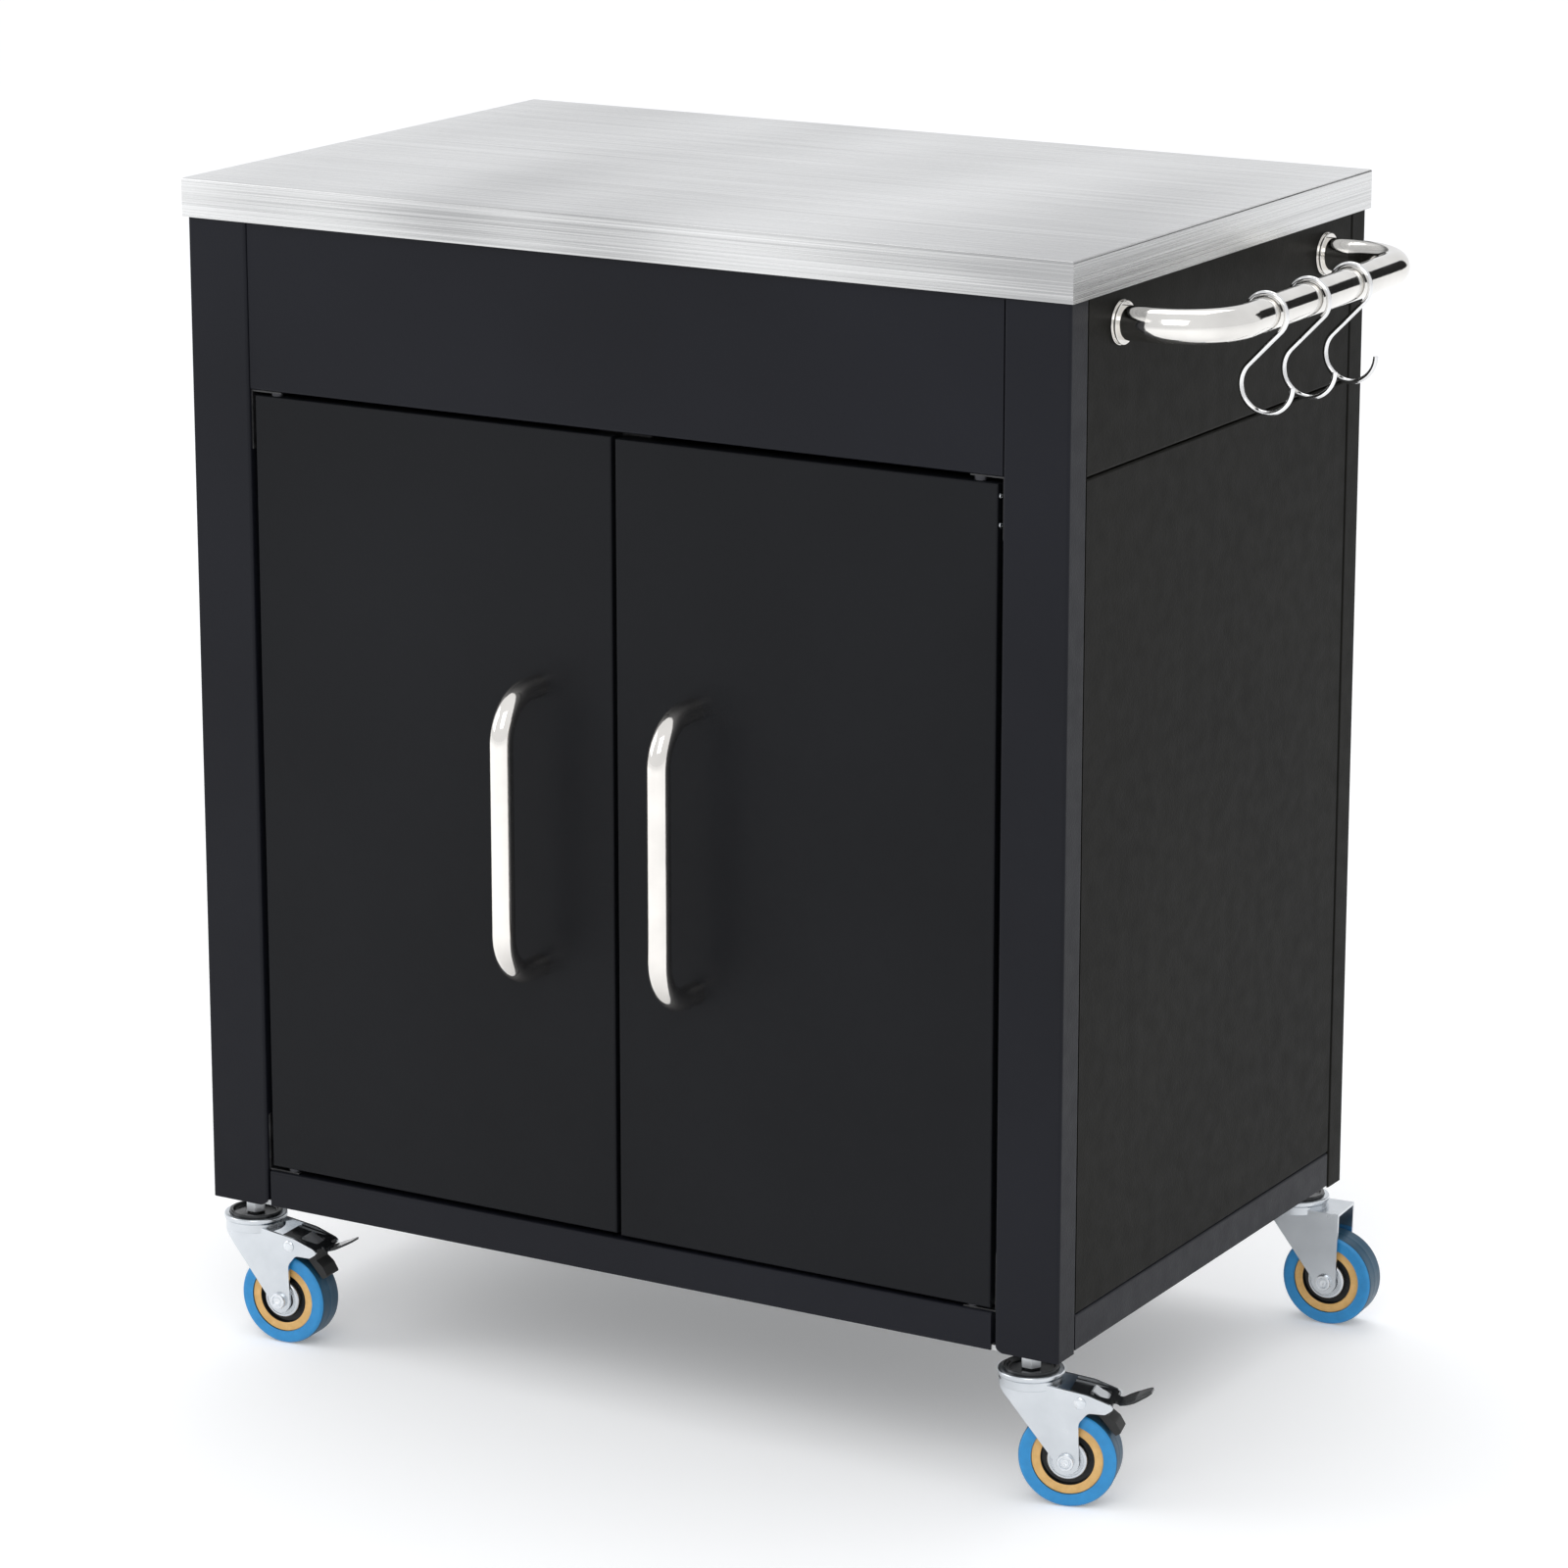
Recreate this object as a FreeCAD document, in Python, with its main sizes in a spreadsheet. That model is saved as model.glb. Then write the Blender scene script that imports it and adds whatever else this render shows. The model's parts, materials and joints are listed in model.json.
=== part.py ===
import FreeCAD, Part
import math
import os
import re

import Sketcher

# Grill cart with storage: a black folded-steel cabinet with two doors under a stainless
# worktop, a side bar with three S-hooks, and four swivel casters, the front two braked.
# The frame is in millimetres: Z up from the floor, the doors face -Y, the side bar is at +X.

os.makedirs("parts", exist_ok=True)
doc = FreeCAD.newDocument("grill_cart")
Vector = FreeCAD.Vector

SIZES = {
    # The cabinet's outer box, over the posts and from post bottom to worktop skirt
    "cabinet_width": 760,
    "cabinet_depth": 490,
    "body_height": 788,
    "caster_height": 115,
    # Folded sheet of the frame
    "frame_sheet": 1.2,
    "frame_fold": 2.4,
    "front_post_face": 53,
    "front_post_side": 27.5,
    "rear_post_face": 40,
    "rear_post_side": 25,
    "post_return": 21,
    "post_corner": 8,
    "side_return": 18,
    # Header and panels, set back a little behind the posts
    "panel_sheet": 1,
    "panel_fold": 2,
    "panel_return": 15,
    "panel_recess": 0.5,
    "panel_gap": 0.8,
    "header_height": 129.5,
    "header_return": 20,
    "front_recess": 1.5,
    # Bottom tray
    "tray_height": 30,
    "tray_lift": 1,
    "tray_gap": 3,
    "tray_side_drop": 28,
    # Worktop
    "worktop_sheet": 1,
    "worktop_overhang": 3,
    "worktop_skirt": 30,
    "worktop_fold": 2,
    "hem_height": 7,
    "stiffener_width": 60,
    "stiffener_height": 18,
    "stiffener_flange": 14,
    "stiffener_spacing": 230,
    "stiffener_end_gap": 24,
    # Shelf
    "shelf_level": 345,
    "shelf_thickness": 20,
    "shelf_setback": 42,
    "shelf_rear_gap": 4,
    "shelf_side_gap": 1,
    "rail_height": 18,
    "rail_length": 360,
    "rail_ledge": 16,
    # Doors
    "door_side_gap": 4.6,
    "door_mid_gap": 3.5,
    "door_top_gap": 4,
    "door_bottom_gap": 4,
    "door_thickness": 16,
    "door_sheet": 1,
    "door_edge": 1.6,
    "door_lip": 12,
    "right_door_drop": 1.2,
    # Hinges: a pin in a bracket above and below each door
    "pivot_inset": 17,
    "pivot_depth": 8,
    "pin_radius": 3,
    "pin_clearance": 0.06,
    "pin_engagement": 9,
    "bracket_sheet": 1.2,
    "bracket_height": 46,
    "bracket_reach": 28,
    "bracket_width": 13,
    "washer_radius": 6,
    "running_gap": 0.3,
    # Magnetic catch and its strike plates
    "catch_width": 46,
    "catch_depth": 14,
    "catch_height": 12,
    "strike_width": 16,
    "strike_height": 26,
    "strike_sheet": 1.2,
    # Bow handles
    "handle_radius": 9,
    "handle_wall": 1.2,
    "handle_span": 219,
    "handle_reach": 50,
    "handle_bend": 36,
    "handle_inset": 67,
    "handle_low": 238,
    # Side bar
    "bar_radius": 12.7,
    "bar_wall": 1.5,
    "bar_reach": 75,
    "bar_bend": 50,
    "bar_drop": 25,
    "bar_front": 77.5,
    "bar_rear": 71.9,
    "flange_radius": 16.5,
    "flange_length": 4.2,
    "flange_groove": 1.4,
    # S-hooks
    "hook_wire": 2,
    "hook_upper": 16,
    "hook_lower": 20.5,
    "hook_centres": 51,
    "hook_offset": 1.2,
    "hook_opening": 28,
    "hook_seat_gap": 0.3,
    "hook_first": 160,
    "hook_pitch": 71.5,
    # Casters; a share is a part of the wheel's radius, which follows the casters' height
    "caster_inset": 30,
    "caster_setback": 15.5,
    "caster_trail": 30.5,
    "front_left_yaw": 4,
    "front_right_yaw": 16,
    "rear_left_yaw": -6,
    "rear_right_yaw": 4,
    "plate_side": 56,
    "plate_sheet": 4,
    "stem_radius": 4,
    "nut_flats": 14,
    "nut_height": 8,
    "cap_height": 4.6,
    "crown_radius": 23.6,
    "crown_lip": 1.6,
    "crown_height": 8,
    "stem_reveal": 11,
    "race_gap": 0.4,
    "kingpin_radius": 5,
    "fork_width": 36,
    "fork_sheet": 2.2,
    "fork_round": 15,
    "fork_boss": 10,
    "axle_radius": 4,
    "axle_clearance": 0.05,
    "axle_head_radius": 6.5,
    "axle_head": 3.5,
    "wheel_room": 21,
    "tyre_width": 26.5,
    "tyre_shoulder": 3.2,
    "core_share": 0.728,
    "core_width": 24,
    "rim_share": 0.54,
    "core_web": 13,
    "cover_share": 0.44,
    "cover_sheet": 1.2,
    "hub_share": 0.27,
    "hub_width": 29.4,
    # Foot brake of the front casters
    "brake_pivot_x": 40.5,
    "brake_drop": 11.7,
    "brake_pin_radius": 3.4,
    "brake_plate": 1.8,
    "brake_width": 29,
    "brake_side": 12,
    "window_margin": 5.1,
    "window_width": 15,
    "bend_share": 0.93,
    "pedal_start": 9,
    "pedal_rise": 6.6,
    "pedal_dip": 1.4,
    "foot_dip": -1.4,
    "foot_middle": 3,
    "foot_rise": 9,
    "foot_length": 26,
    "foot_neck": 5,
    "foot_leaf": 13,
    "foot_tip": 3.5,
    "shoe_gap": 2.6,
    "shoe_thickness": 6,
    "shoe_width": 18,
    "shoe_from": 30,
    "shoe_to": 52,
    "lug_length": 8,
    "lug_gap": 0.1,
}

book = doc.addObject("Spreadsheet::Sheet", "sizes")
for row, (alias, value) in enumerate(SIZES.items(), start=1):
    book.set(f"A{row}", alias)
    book.set(f"B{row}", str(value))
    book.setAlias(f"B{row}", alias)
doc.recompute()

ALIAS = re.compile(r"\b(" + "|".join(SIZES) + r")\b")
nodes = []

# The frame's origin is under the middle of everything, so the cabinet stands off it by half
# of what the bar and hooks add on the right, and of what the handles add in front beyond
# what the casters add behind.
SHIFT_X = (
    "((bar_reach - panel_recess + hook_offset + hook_lower + hook_wire - worktop_overhang) / 2)"
)
SHIFT_Y = (
    "((handle_reach + handle_radius - front_recess + caster_setback - crown_radius"
    " - crown_lip) / 2)"
)


def bound(text):
    """An expression in the sheet's words, with each word led by the sheet's name."""
    return ALIAS.sub(r"sizes.\1", text)


def number(text):
    """The present value of such an expression."""
    return float(book.evalExpression(bound(text)))


def bind(thing, prop, text):
    thing.setExpression(prop, bound(text))


def new_body(label, x="0", y="0", z="0", turn=None, turn_text=None, grouped=False):
    """A body placed from the middle of the cabinet's footprint, a node unless grouped."""
    body = doc.addObject("PartDesign::Body", "body")
    if grouped:
        body.Label = label
        if turn is not None:
            body.Placement = FreeCAD.Placement(Vector(0, 0, 0), turn)
        for axis, text in (("x", x), ("y", y), ("z", z)):
            bind(body, "Placement.Base." + axis, text)
    else:
        keep(body, label, x, y, z, turn, turn_text)
    return body


def keep(thing, label, x="0", y="0", z="0", turn=None, turn_text=None):
    """Name a finished sub-part and bind its place, which shares the cabinet's shift."""
    thing.Label = label
    if turn is not None:
        thing.Placement = FreeCAD.Placement(Vector(0, 0, 0), turn)
    bind(thing, "Placement.Base.x", f"({x}) - {SHIFT_X}")
    bind(thing, "Placement.Base.y", f"({y}) + {SHIFT_Y}")
    bind(thing, "Placement.Base.z", z)
    if turn_text:
        thing.Placement = FreeCAD.Placement(Vector(0, 0, 0), Vector(0, 0, 1), number(turn_text))
        bind(thing, "Placement.Rotation.Angle", turn_text)
    nodes.append(thing)


def sketch_on(body, role, offset="0"):
    """An empty sketch on one of the body's own origin planes, moved along its normal."""
    plane = next(o for o in body.Origin.OriginFeatures if o.Role == role)
    sketch = body.newObject("Sketcher::SketchObject", "sketch")
    sketch.AttachmentSupport = [(plane, "")]
    sketch.MapMode = "FlatFace"
    bind(sketch, "AttachmentOffset.Base.z", offset)
    return sketch


def pin(sketch, kind, geometry, point, text, name):
    """Bind one driving dimension from the sketch origin."""
    index = sketch.addConstraint(
        Sketcher.Constraint(kind, -1, 1, geometry, point, number(text))
    )
    sketch.renameConstraint(index, name)
    bind(sketch, "Constraints." + name, text)


def radius(sketch, geometry, text, name):
    index = sketch.addConstraint(Sketcher.Constraint("Radius", geometry, number(text)))
    sketch.renameConstraint(index, name)
    bind(sketch, "Constraints." + name, text)


def outline(sketch, points):
    """A closed outline: each corner is a pair of expressions, and a third one rounds it."""
    first = sketch.GeometryCount
    count = len(points)
    corners = [Vector(number(p[0]), number(p[1]), 0) for p in points]
    for i in range(count):
        line = Part.LineSegment(corners[i], corners[(i + 1) % count])
        sketch.addGeometry(line, False)
    for i in range(count):
        after = first + (i + 1) % count
        sketch.addConstraint(Sketcher.Constraint("Coincident", first + i, 2, after, 1))
    for i, point in enumerate(points):
        pin(sketch, "DistanceX", first + i, 1, point[0], f"x{first + i}")
        pin(sketch, "DistanceY", first + i, 1, point[1], f"y{first + i}")
    doc.recompute()
    for i, point in enumerate(points):
        if len(point) == 3:
            before = sketch.GeometryCount
            sketch.fillet(first + i, 1, number(point[2]), True, True)
            arc = next(
                g
                for g in range(before, sketch.GeometryCount)
                if sketch.Geometry[g].TypeId == "Part::GeomArcOfCircle"
            )
            radius(sketch, arc, point[2], f"r{first + i}")
    return sketch


def rectangle(sketch, x_low, x_high, y_low, y_high, corner=None):
    points = [(x_low, y_low), (x_high, y_low), (x_high, y_high), (x_low, y_high)]
    if corner:
        points = [p + (corner,) for p in points]
    return outline(sketch, points)


def circle(sketch, x, y, size):
    centre = Vector(number(x), number(y), 0)
    index = sketch.addGeometry(Part.Circle(centre, Vector(0, 0, 1), number(size)), False)
    pin(sketch, "DistanceX", index, 3, x, f"x{index}")
    pin(sketch, "DistanceY", index, 3, y, f"y{index}")
    radius(sketch, index, size, f"r{index}")
    return sketch


def feature(body, kind, sketch, length=None, symmetric=False, back=False):
    """A pad or pocket of the sketch; back turns it against the sketch's normal."""
    made = body.newObject("PartDesign::" + kind, kind.lower())
    made.Profile = sketch
    if length:
        bind(made, "Length", length)
    if symmetric:
        made.Midplane = True
    made.Reversed = back
    body.Tip = made
    return made


def revolve(body, sketch):
    """A full turn about the sketch's upright axis."""
    made = body.newObject("PartDesign::Revolution", "revolution")
    made.Profile = sketch
    made.ReferenceAxis = (sketch, ["V_Axis"])
    made.Angle = 360
    body.Tip = made
    return made


def drill(body, role, x, y, size, depth, symmetric=False, back=False, offset="0"):
    """A round hole, checked to have taken material away."""
    doc.recompute()
    before = body.Shape.Volume
    hole = feature(
        body, "Pocket", circle(sketch_on(body, role, offset), x, y, size), depth, symmetric, back
    )
    doc.recompute()
    if body.Shape.Volume > before - 0.01:
        raise RuntimeError("a hole in " + body.Label + " cuts nothing")
    return hole


def round_edges(body, size, test):
    """Fillet the edges whose ends both pass the test."""
    doc.recompute()
    solid = body.Tip
    names = [
        f"Edge{i}"
        for i, edge in enumerate(solid.Shape.Edges, start=1)
        if all(test(v.Point) for v in edge.Vertexes)
    ]
    if not names:
        raise RuntimeError("no edge to round in " + body.Label)
    made = body.newObject("PartDesign::Fillet", "fillet")
    made.Base = (solid, names)
    bind(made, "Radius", size)
    body.Tip = made
    return made


def hollow(body, wall, test):
    """Shell a solid to a sheet of the given wall, open at the faces that pass the test."""
    doc.recompute()
    solid = body.Tip
    names = [
        f"Face{i}" for i, face in enumerate(solid.Shape.Faces, start=1) if test(face)
    ]
    made = body.newObject("PartDesign::Thickness", "thickness")
    made.Base = (solid, names)
    bind(made, "Value", wall)
    made.Reversed = True
    body.Tip = made
    return made


def group(label, shapes, x="0", y="0", z="0"):
    """Like pieces of one sub-part, kept as separate solids of one compound."""
    made = doc.addObject("Part::Compound", "group")
    made.Links = shapes
    keep(made, label, x, y, z)
    return made


def box(x, y, z, length, width, height):
    made = doc.addObject("Part::Box", "box")
    for prop, text in (("Length", length), ("Width", width), ("Height", height)):
        bind(made, prop, text)
    for axis, text in (("x", x), ("y", y), ("z", z)):
        bind(made, "Placement.Base." + axis, text)
    return made


def cylinder(x, y, z, size, height):
    made = doc.addObject("Part::Cylinder", "cylinder")
    bind(made, "Radius", size)
    bind(made, "Height", height)
    for axis, text in (("x", x), ("y", y), ("z", z)):
        bind(made, "Placement.Base." + axis, text)
    return made


def fuse(*shapes):
    made = doc.addObject("Part::MultiFuse", "fuse")
    made.Shapes = list(shapes)
    return made


def cut(base, tool):
    made = doc.addObject("Part::Cut", "cut")
    made.Base = base
    made.Tool = tool
    return made


SIDES = {"left": "-1", "right": "1"}
HALF_WIDTH = "cabinet_width / 2"
HALF_DEPTH = "cabinet_depth / 2"
FRAME_TOP = "(caster_height + body_height + worktop_skirt - worktop_sheet)"
HEADER_BOTTOM = "(caster_height + body_height - header_height)"
DOOR_FACE = f"({HALF_DEPTH} - front_recess)"


def corner_post(label, x_sign, y_sign, face, side):
    """A post folded from one strip, notched for the stem plate; a front one has a round corner."""
    body = new_body(
        label, f"{x_sign} * {HALF_WIDTH}", f"{y_sign} * {HALF_DEPTH}", "caster_height"
    )

    def at(inward, back, fold=None):
        corner = (f"-({x_sign}) * ({inward})", f"-({y_sign}) * ({back})")
        return corner + (fold,) if fold else corner

    inner = "frame_fold - frame_sheet"
    profile = [
        at("0", "0", "frame_fold"),
        at(face, "0", "frame_fold"),
        at(face, "post_return"),
        at(f"{face} - frame_sheet", "post_return"),
        at(f"{face} - frame_sheet", "frame_sheet", inner),
        at("frame_sheet", "frame_sheet", inner),
        at("frame_sheet", f"{side} - frame_sheet", inner),
        at("side_return", f"{side} - frame_sheet"),
        at("side_return", side),
        at("0", side, "frame_fold"),
    ]
    feature(
        body,
        "Pad",
        outline(sketch_on(body, "XY_Plane"), profile),
        "body_height + worktop_skirt - worktop_sheet",
    )
    notch = [
        at("frame_sheet", "frame_sheet"),
        at("plate_side + frame_sheet", "frame_sheet"),
        at("plate_side + frame_sheet", "plate_side + frame_sheet"),
        at("frame_sheet", "plate_side + frame_sheet"),
    ]
    feature(
        body, "Pocket", outline(sketch_on(body, "XY_Plane"), notch), "tray_lift + plate_sheet",
        back=True,
    )
    if y_sign == "-1":
        past = [
            (f"-({x_sign}) * ({face} - post_corner - 1)", "0"),
            (f"-({x_sign}) * {face}", "0", "post_corner"),
            (f"-({x_sign}) * {face}", "post_corner + 1"),
            (f"-({x_sign}) * ({face} + 1)", "post_corner + 1"),
            (f"-({x_sign}) * ({face} + 1)", "-1"),
            (f"-({x_sign}) * ({face} - post_corner - 1)", "-1"),
        ]
        feature(body, "Pocket", outline(sketch_on(body, "XZ_Plane"), past), "post_return + 1")


def channel_profile(sketch, sign, height, top, bottom, wall, fold):
    """A C section: an upright web on the sketch's Y axis and two flanges towards sign."""
    inner = f"{fold} - {wall}"
    return outline(
        sketch,
        [
            ("0", "0", fold),
            (f"{sign} * {bottom}", "0"),
            (f"{sign} * {bottom}", wall),
            (f"{sign} * {wall}", wall, inner),
            (f"{sign} * {wall}", f"{height} - {wall}", inner),
            (f"{sign} * {top}", f"{height} - {wall}"),
            (f"{sign} * {top}", height),
            ("0", height, fold),
        ],
    )


def header_panel():
    """The fixed panel over the doors, folded back along its top and bottom."""
    body = new_body("header_panel", "0", f"-{DOOR_FACE}", HEADER_BOTTOM)
    height = "(header_height + worktop_skirt - worktop_sheet)"
    sketch = sketch_on(body, "YZ_Plane")
    channel_profile(
        sketch, "1", height, "header_return", "header_return", "panel_sheet", "panel_fold"
    )
    feature(body, "Pad", sketch, "cabinet_width - 2 * front_post_face - 2 * panel_gap", True)


def side_panel(label, x_sign, low, height):
    """An upper or lower side panel between a front and a rear post."""
    middle = "(front_post_side - rear_post_side) / 2"
    body = new_body(label, f"{x_sign} * ({HALF_WIDTH} - panel_recess)", middle, low)
    sketch = sketch_on(body, "XZ_Plane")
    channel_profile(
        sketch, f"-({x_sign})", height, "panel_return", "panel_return", "panel_sheet", "panel_fold"
    )
    length = "cabinet_depth - front_post_side - rear_post_side - 2 * panel_gap"
    feature(body, "Pad", sketch, length, True)


def back_panel():
    """One sheet between the rear posts, from the tray to the worktop."""
    body = new_body(
        "back_panel", "0", f"{HALF_DEPTH} - panel_recess", "caster_height + tray_height"
    )
    height = "(body_height + worktop_skirt - worktop_sheet - tray_height)"
    sketch = sketch_on(body, "YZ_Plane")
    channel_profile(
        sketch, "-1", height, "panel_return", "panel_return", "panel_sheet", "panel_fold"
    )
    feature(body, "Pad", sketch, "cabinet_width - 2 * rear_post_face - 2 * panel_gap", True)


def base_tray():
    """The cabinet's floor: a sheet notched round the posts, its four edges folded down."""
    body = new_body("base_tray", z="caster_height + tray_height")
    wide = f"({HALF_WIDTH} - panel_recess)"
    front_x = f"({HALF_WIDTH} - front_post_face - tray_gap)"
    front_y = f"({HALF_DEPTH} - front_post_side - panel_gap)"
    rear_x = f"({HALF_WIDTH} - rear_post_face - tray_gap)"
    rear_y = f"({HALF_DEPTH} - rear_post_side - panel_gap)"

    def edge(sign):
        return [
            (f"{sign} * {front_x}", f"-{HALF_DEPTH}"),
            (f"{sign} * {front_x}", f"-{front_y}"),
            (f"{sign} * {wide}", f"-{front_y}"),
            (f"{sign} * {wide}", rear_y),
            (f"{sign} * {rear_x}", rear_y),
            (f"{sign} * {rear_x}", HALF_DEPTH),
        ]

    ring = edge("1") + edge("-1")[::-1]
    feature(body, "Pad", outline(sketch_on(body, "XY_Plane"), ring), "frame_sheet", back=True)
    drop = "tray_height - tray_lift"
    rails = sketch_on(body, "XY_Plane")
    rectangle(rails, f"-{front_x}", front_x, f"-{HALF_DEPTH}", f"-{HALF_DEPTH} + frame_sheet")
    rectangle(rails, f"-{rear_x}", rear_x, f"{HALF_DEPTH} - frame_sheet", HALF_DEPTH)
    feature(body, "Pad", rails, drop, back=True)
    sides = sketch_on(body, "XY_Plane")
    rectangle(sides, f"-{wide}", f"-{wide} + frame_sheet", f"-{front_y}", rear_y)
    rectangle(sides, f"{wide} - frame_sheet", wide, f"-{front_y}", rear_y)
    feature(body, "Pad", sides, "tray_side_drop", back=True)
    round_edges(
        body,
        "frame_fold",
        lambda p: abs(p.z) < 1e-6
        and (abs(abs(p.y) - number(HALF_DEPTH)) < 1e-6 or abs(abs(p.x) - number(wide)) < 1e-6),
    )


def worktop():
    """A stainless top folded down on all four sides, with a hem inside the skirt."""
    body = new_body("worktop", z="caster_height + body_height")
    half_x = f"({HALF_WIDTH} + worktop_overhang)"
    half_y = f"({HALF_DEPTH} + worktop_overhang)"
    block = rectangle(
        sketch_on(body, "XY_Plane"), f"-{half_x}", half_x, f"-{half_y}", half_y
    )
    feature(body, "Pad", block, "worktop_skirt")
    top = number("worktop_skirt")
    round_edges(body, "worktop_fold", lambda p: abs(p.z - top) < 1e-6)
    hollow(body, "worktop_sheet", lambda f: f.CenterOfMass.z < 1e-6)
    hem = sketch_on(body, "XY_Plane")
    outer_x = f"({half_x} - worktop_sheet)"
    outer_y = f"({half_y} - worktop_sheet)"
    rectangle(hem, f"-{outer_x}", outer_x, f"-{outer_y}", outer_y)
    inner_x = f"({outer_x} - worktop_sheet)"
    inner_y = f"({outer_y} - worktop_sheet)"
    rectangle(hem, f"-{inner_x}", inner_x, f"-{inner_y}", inner_y)
    feature(body, "Pad", hem, "hem_height")


def worktop_stiffener(label, side):
    """A hat section under the worktop, from side panel to side panel."""
    body = new_body(
        label, y=f"{side} * stiffener_spacing / 2", z=FRAME_TOP, grouped=True
    )
    web = "stiffener_width / 2 - stiffener_flange"
    sheet = "frame_sheet"
    profile = [
        ("-stiffener_width / 2", "0"),
        ("-stiffener_width / 2", f"-{sheet}"),
        (f"-({web})", f"-{sheet}"),
        (f"-({web})", "-stiffener_height"),
        (web, "-stiffener_height"),
        (web, f"-{sheet}"),
        ("stiffener_width / 2", f"-{sheet}"),
        ("stiffener_width / 2", "0"),
        (f"{web} - {sheet}", "0"),
        (f"{web} - {sheet}", f"-stiffener_height + {sheet}"),
        (f"-({web}) + {sheet}", f"-stiffener_height + {sheet}"),
        (f"-({web}) + {sheet}", "0"),
    ]
    sketch = outline(sketch_on(body, "YZ_Plane"), profile)
    feature(body, "Pad", sketch, "cabinet_width - 2 * stiffener_end_gap", True)
    return body


def shelf_size():
    half = f"({HALF_WIDTH} - panel_recess - panel_sheet - shelf_side_gap)"
    front = f"(-{HALF_DEPTH} + shelf_setback)"
    rear = f"({HALF_DEPTH} - rear_post_side - shelf_rear_gap)"
    return half, front, rear


def shelf():
    """The loose inner shelf: a pan with its four edges folded down."""
    half, front, rear = shelf_size()
    body = new_body("shelf", z="caster_height + shelf_level")
    block = rectangle(sketch_on(body, "XY_Plane"), f"-{half}", half, front, rear)
    feature(body, "Pad", block, "shelf_thickness", back=True)
    round_edges(body, "panel_fold", lambda p: abs(p.z) < 1e-6)
    low = -number("shelf_thickness")
    hollow(body, "panel_sheet", lambda f: f.CenterOfMass.z < low + 1e-6)


def shelf_rails():
    """An angle on each lower side panel, whose ledge carries the shelf."""
    wall = f"({HALF_WIDTH} - panel_recess - panel_sheet)"
    under = "caster_height + shelf_level - shelf_thickness"
    rails = []
    for sign in SIDES.values():
        upright_x = f"{sign} * {wall} - (1 + {sign}) / 2 * frame_sheet"
        ledge_x = f"{sign} * {wall} - (1 + {sign}) / 2 * rail_ledge"
        upright = box(
            upright_x, "-rail_length / 2", f"{under} - rail_height", "frame_sheet", "rail_length",
            "rail_height",
        )
        ledge = box(
            ledge_x, "-rail_length / 2", f"{under} - frame_sheet", "rail_ledge", "rail_length",
            "frame_sheet",
        )
        rails.append(fuse(upright, ledge))
    group("shelf_rails", rails)


def pivot(side):
    """Where a door turns, from the middle of the cabinet's footprint."""
    sign = SIDES[side]
    x = f"{sign} * ({HALF_WIDTH} - front_post_face - door_side_gap - pivot_inset)"
    return x, f"(-{DOOR_FACE} + pivot_depth)"


def door_drop(side):
    return "right_door_drop" if side == "right" else "0"


DOOR_WIDTH = (
    "((cabinet_width - 2 * front_post_face - 2 * door_side_gap - door_mid_gap) / 2)"
)
DOOR_HEIGHT = (
    "(body_height - header_height - tray_height - door_top_gap - door_bottom_gap)"
)


def door_bottom(side):
    return f"(caster_height + tray_height + door_bottom_gap - {door_drop(side)})"


def door(side):
    """A pan door: rounded front edges, open back with a stiffening lip, pivot holes."""
    sign = SIDES[side]
    x, y = pivot(side)
    body = new_body(f"{side}_door", x, y, door_bottom(side))
    hinge_edge = f"{sign} * pivot_inset"
    free_edge = f"-({sign}) * ({DOOR_WIDTH} - pivot_inset)"
    block = rectangle(
        sketch_on(body, "XY_Plane"),
        hinge_edge,
        free_edge,
        "-pivot_depth",
        "door_thickness - pivot_depth",
    )
    feature(body, "Pad", block, DOOR_HEIGHT)
    front = -number("pivot_depth")
    back = number("door_thickness - pivot_depth")
    round_edges(body, "door_edge", lambda p: abs(p.y - front) < 1e-6)
    hollow(body, "door_sheet", lambda f: f.CenterOfMass.y > back - 1e-6)
    lip = sketch_on(body, "XZ_Plane", "-(door_thickness - pivot_depth)")
    rectangle(
        lip,
        f"{hinge_edge} - {sign} * door_sheet",
        f"{free_edge} + {sign} * door_sheet",
        "door_sheet",
        f"{DOOR_HEIGHT} - door_sheet",
    )
    rectangle(
        lip,
        f"{hinge_edge} - {sign} * (door_sheet + door_lip)",
        f"{free_edge} + {sign} * (door_sheet + door_lip)",
        "door_sheet + door_lip",
        f"{DOOR_HEIGHT} - door_sheet - door_lip",
    )
    feature(body, "Pad", lip, "door_sheet")
    drill(
        body, "XY_Plane", "0", "0", "pin_radius + pin_clearance", "2 * door_sheet", True
    )
    drill(
        body, "XY_Plane", "0", "0", "pin_radius + pin_clearance", "2 * door_sheet", True,
        offset=DOOR_HEIGHT,
    )


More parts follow.
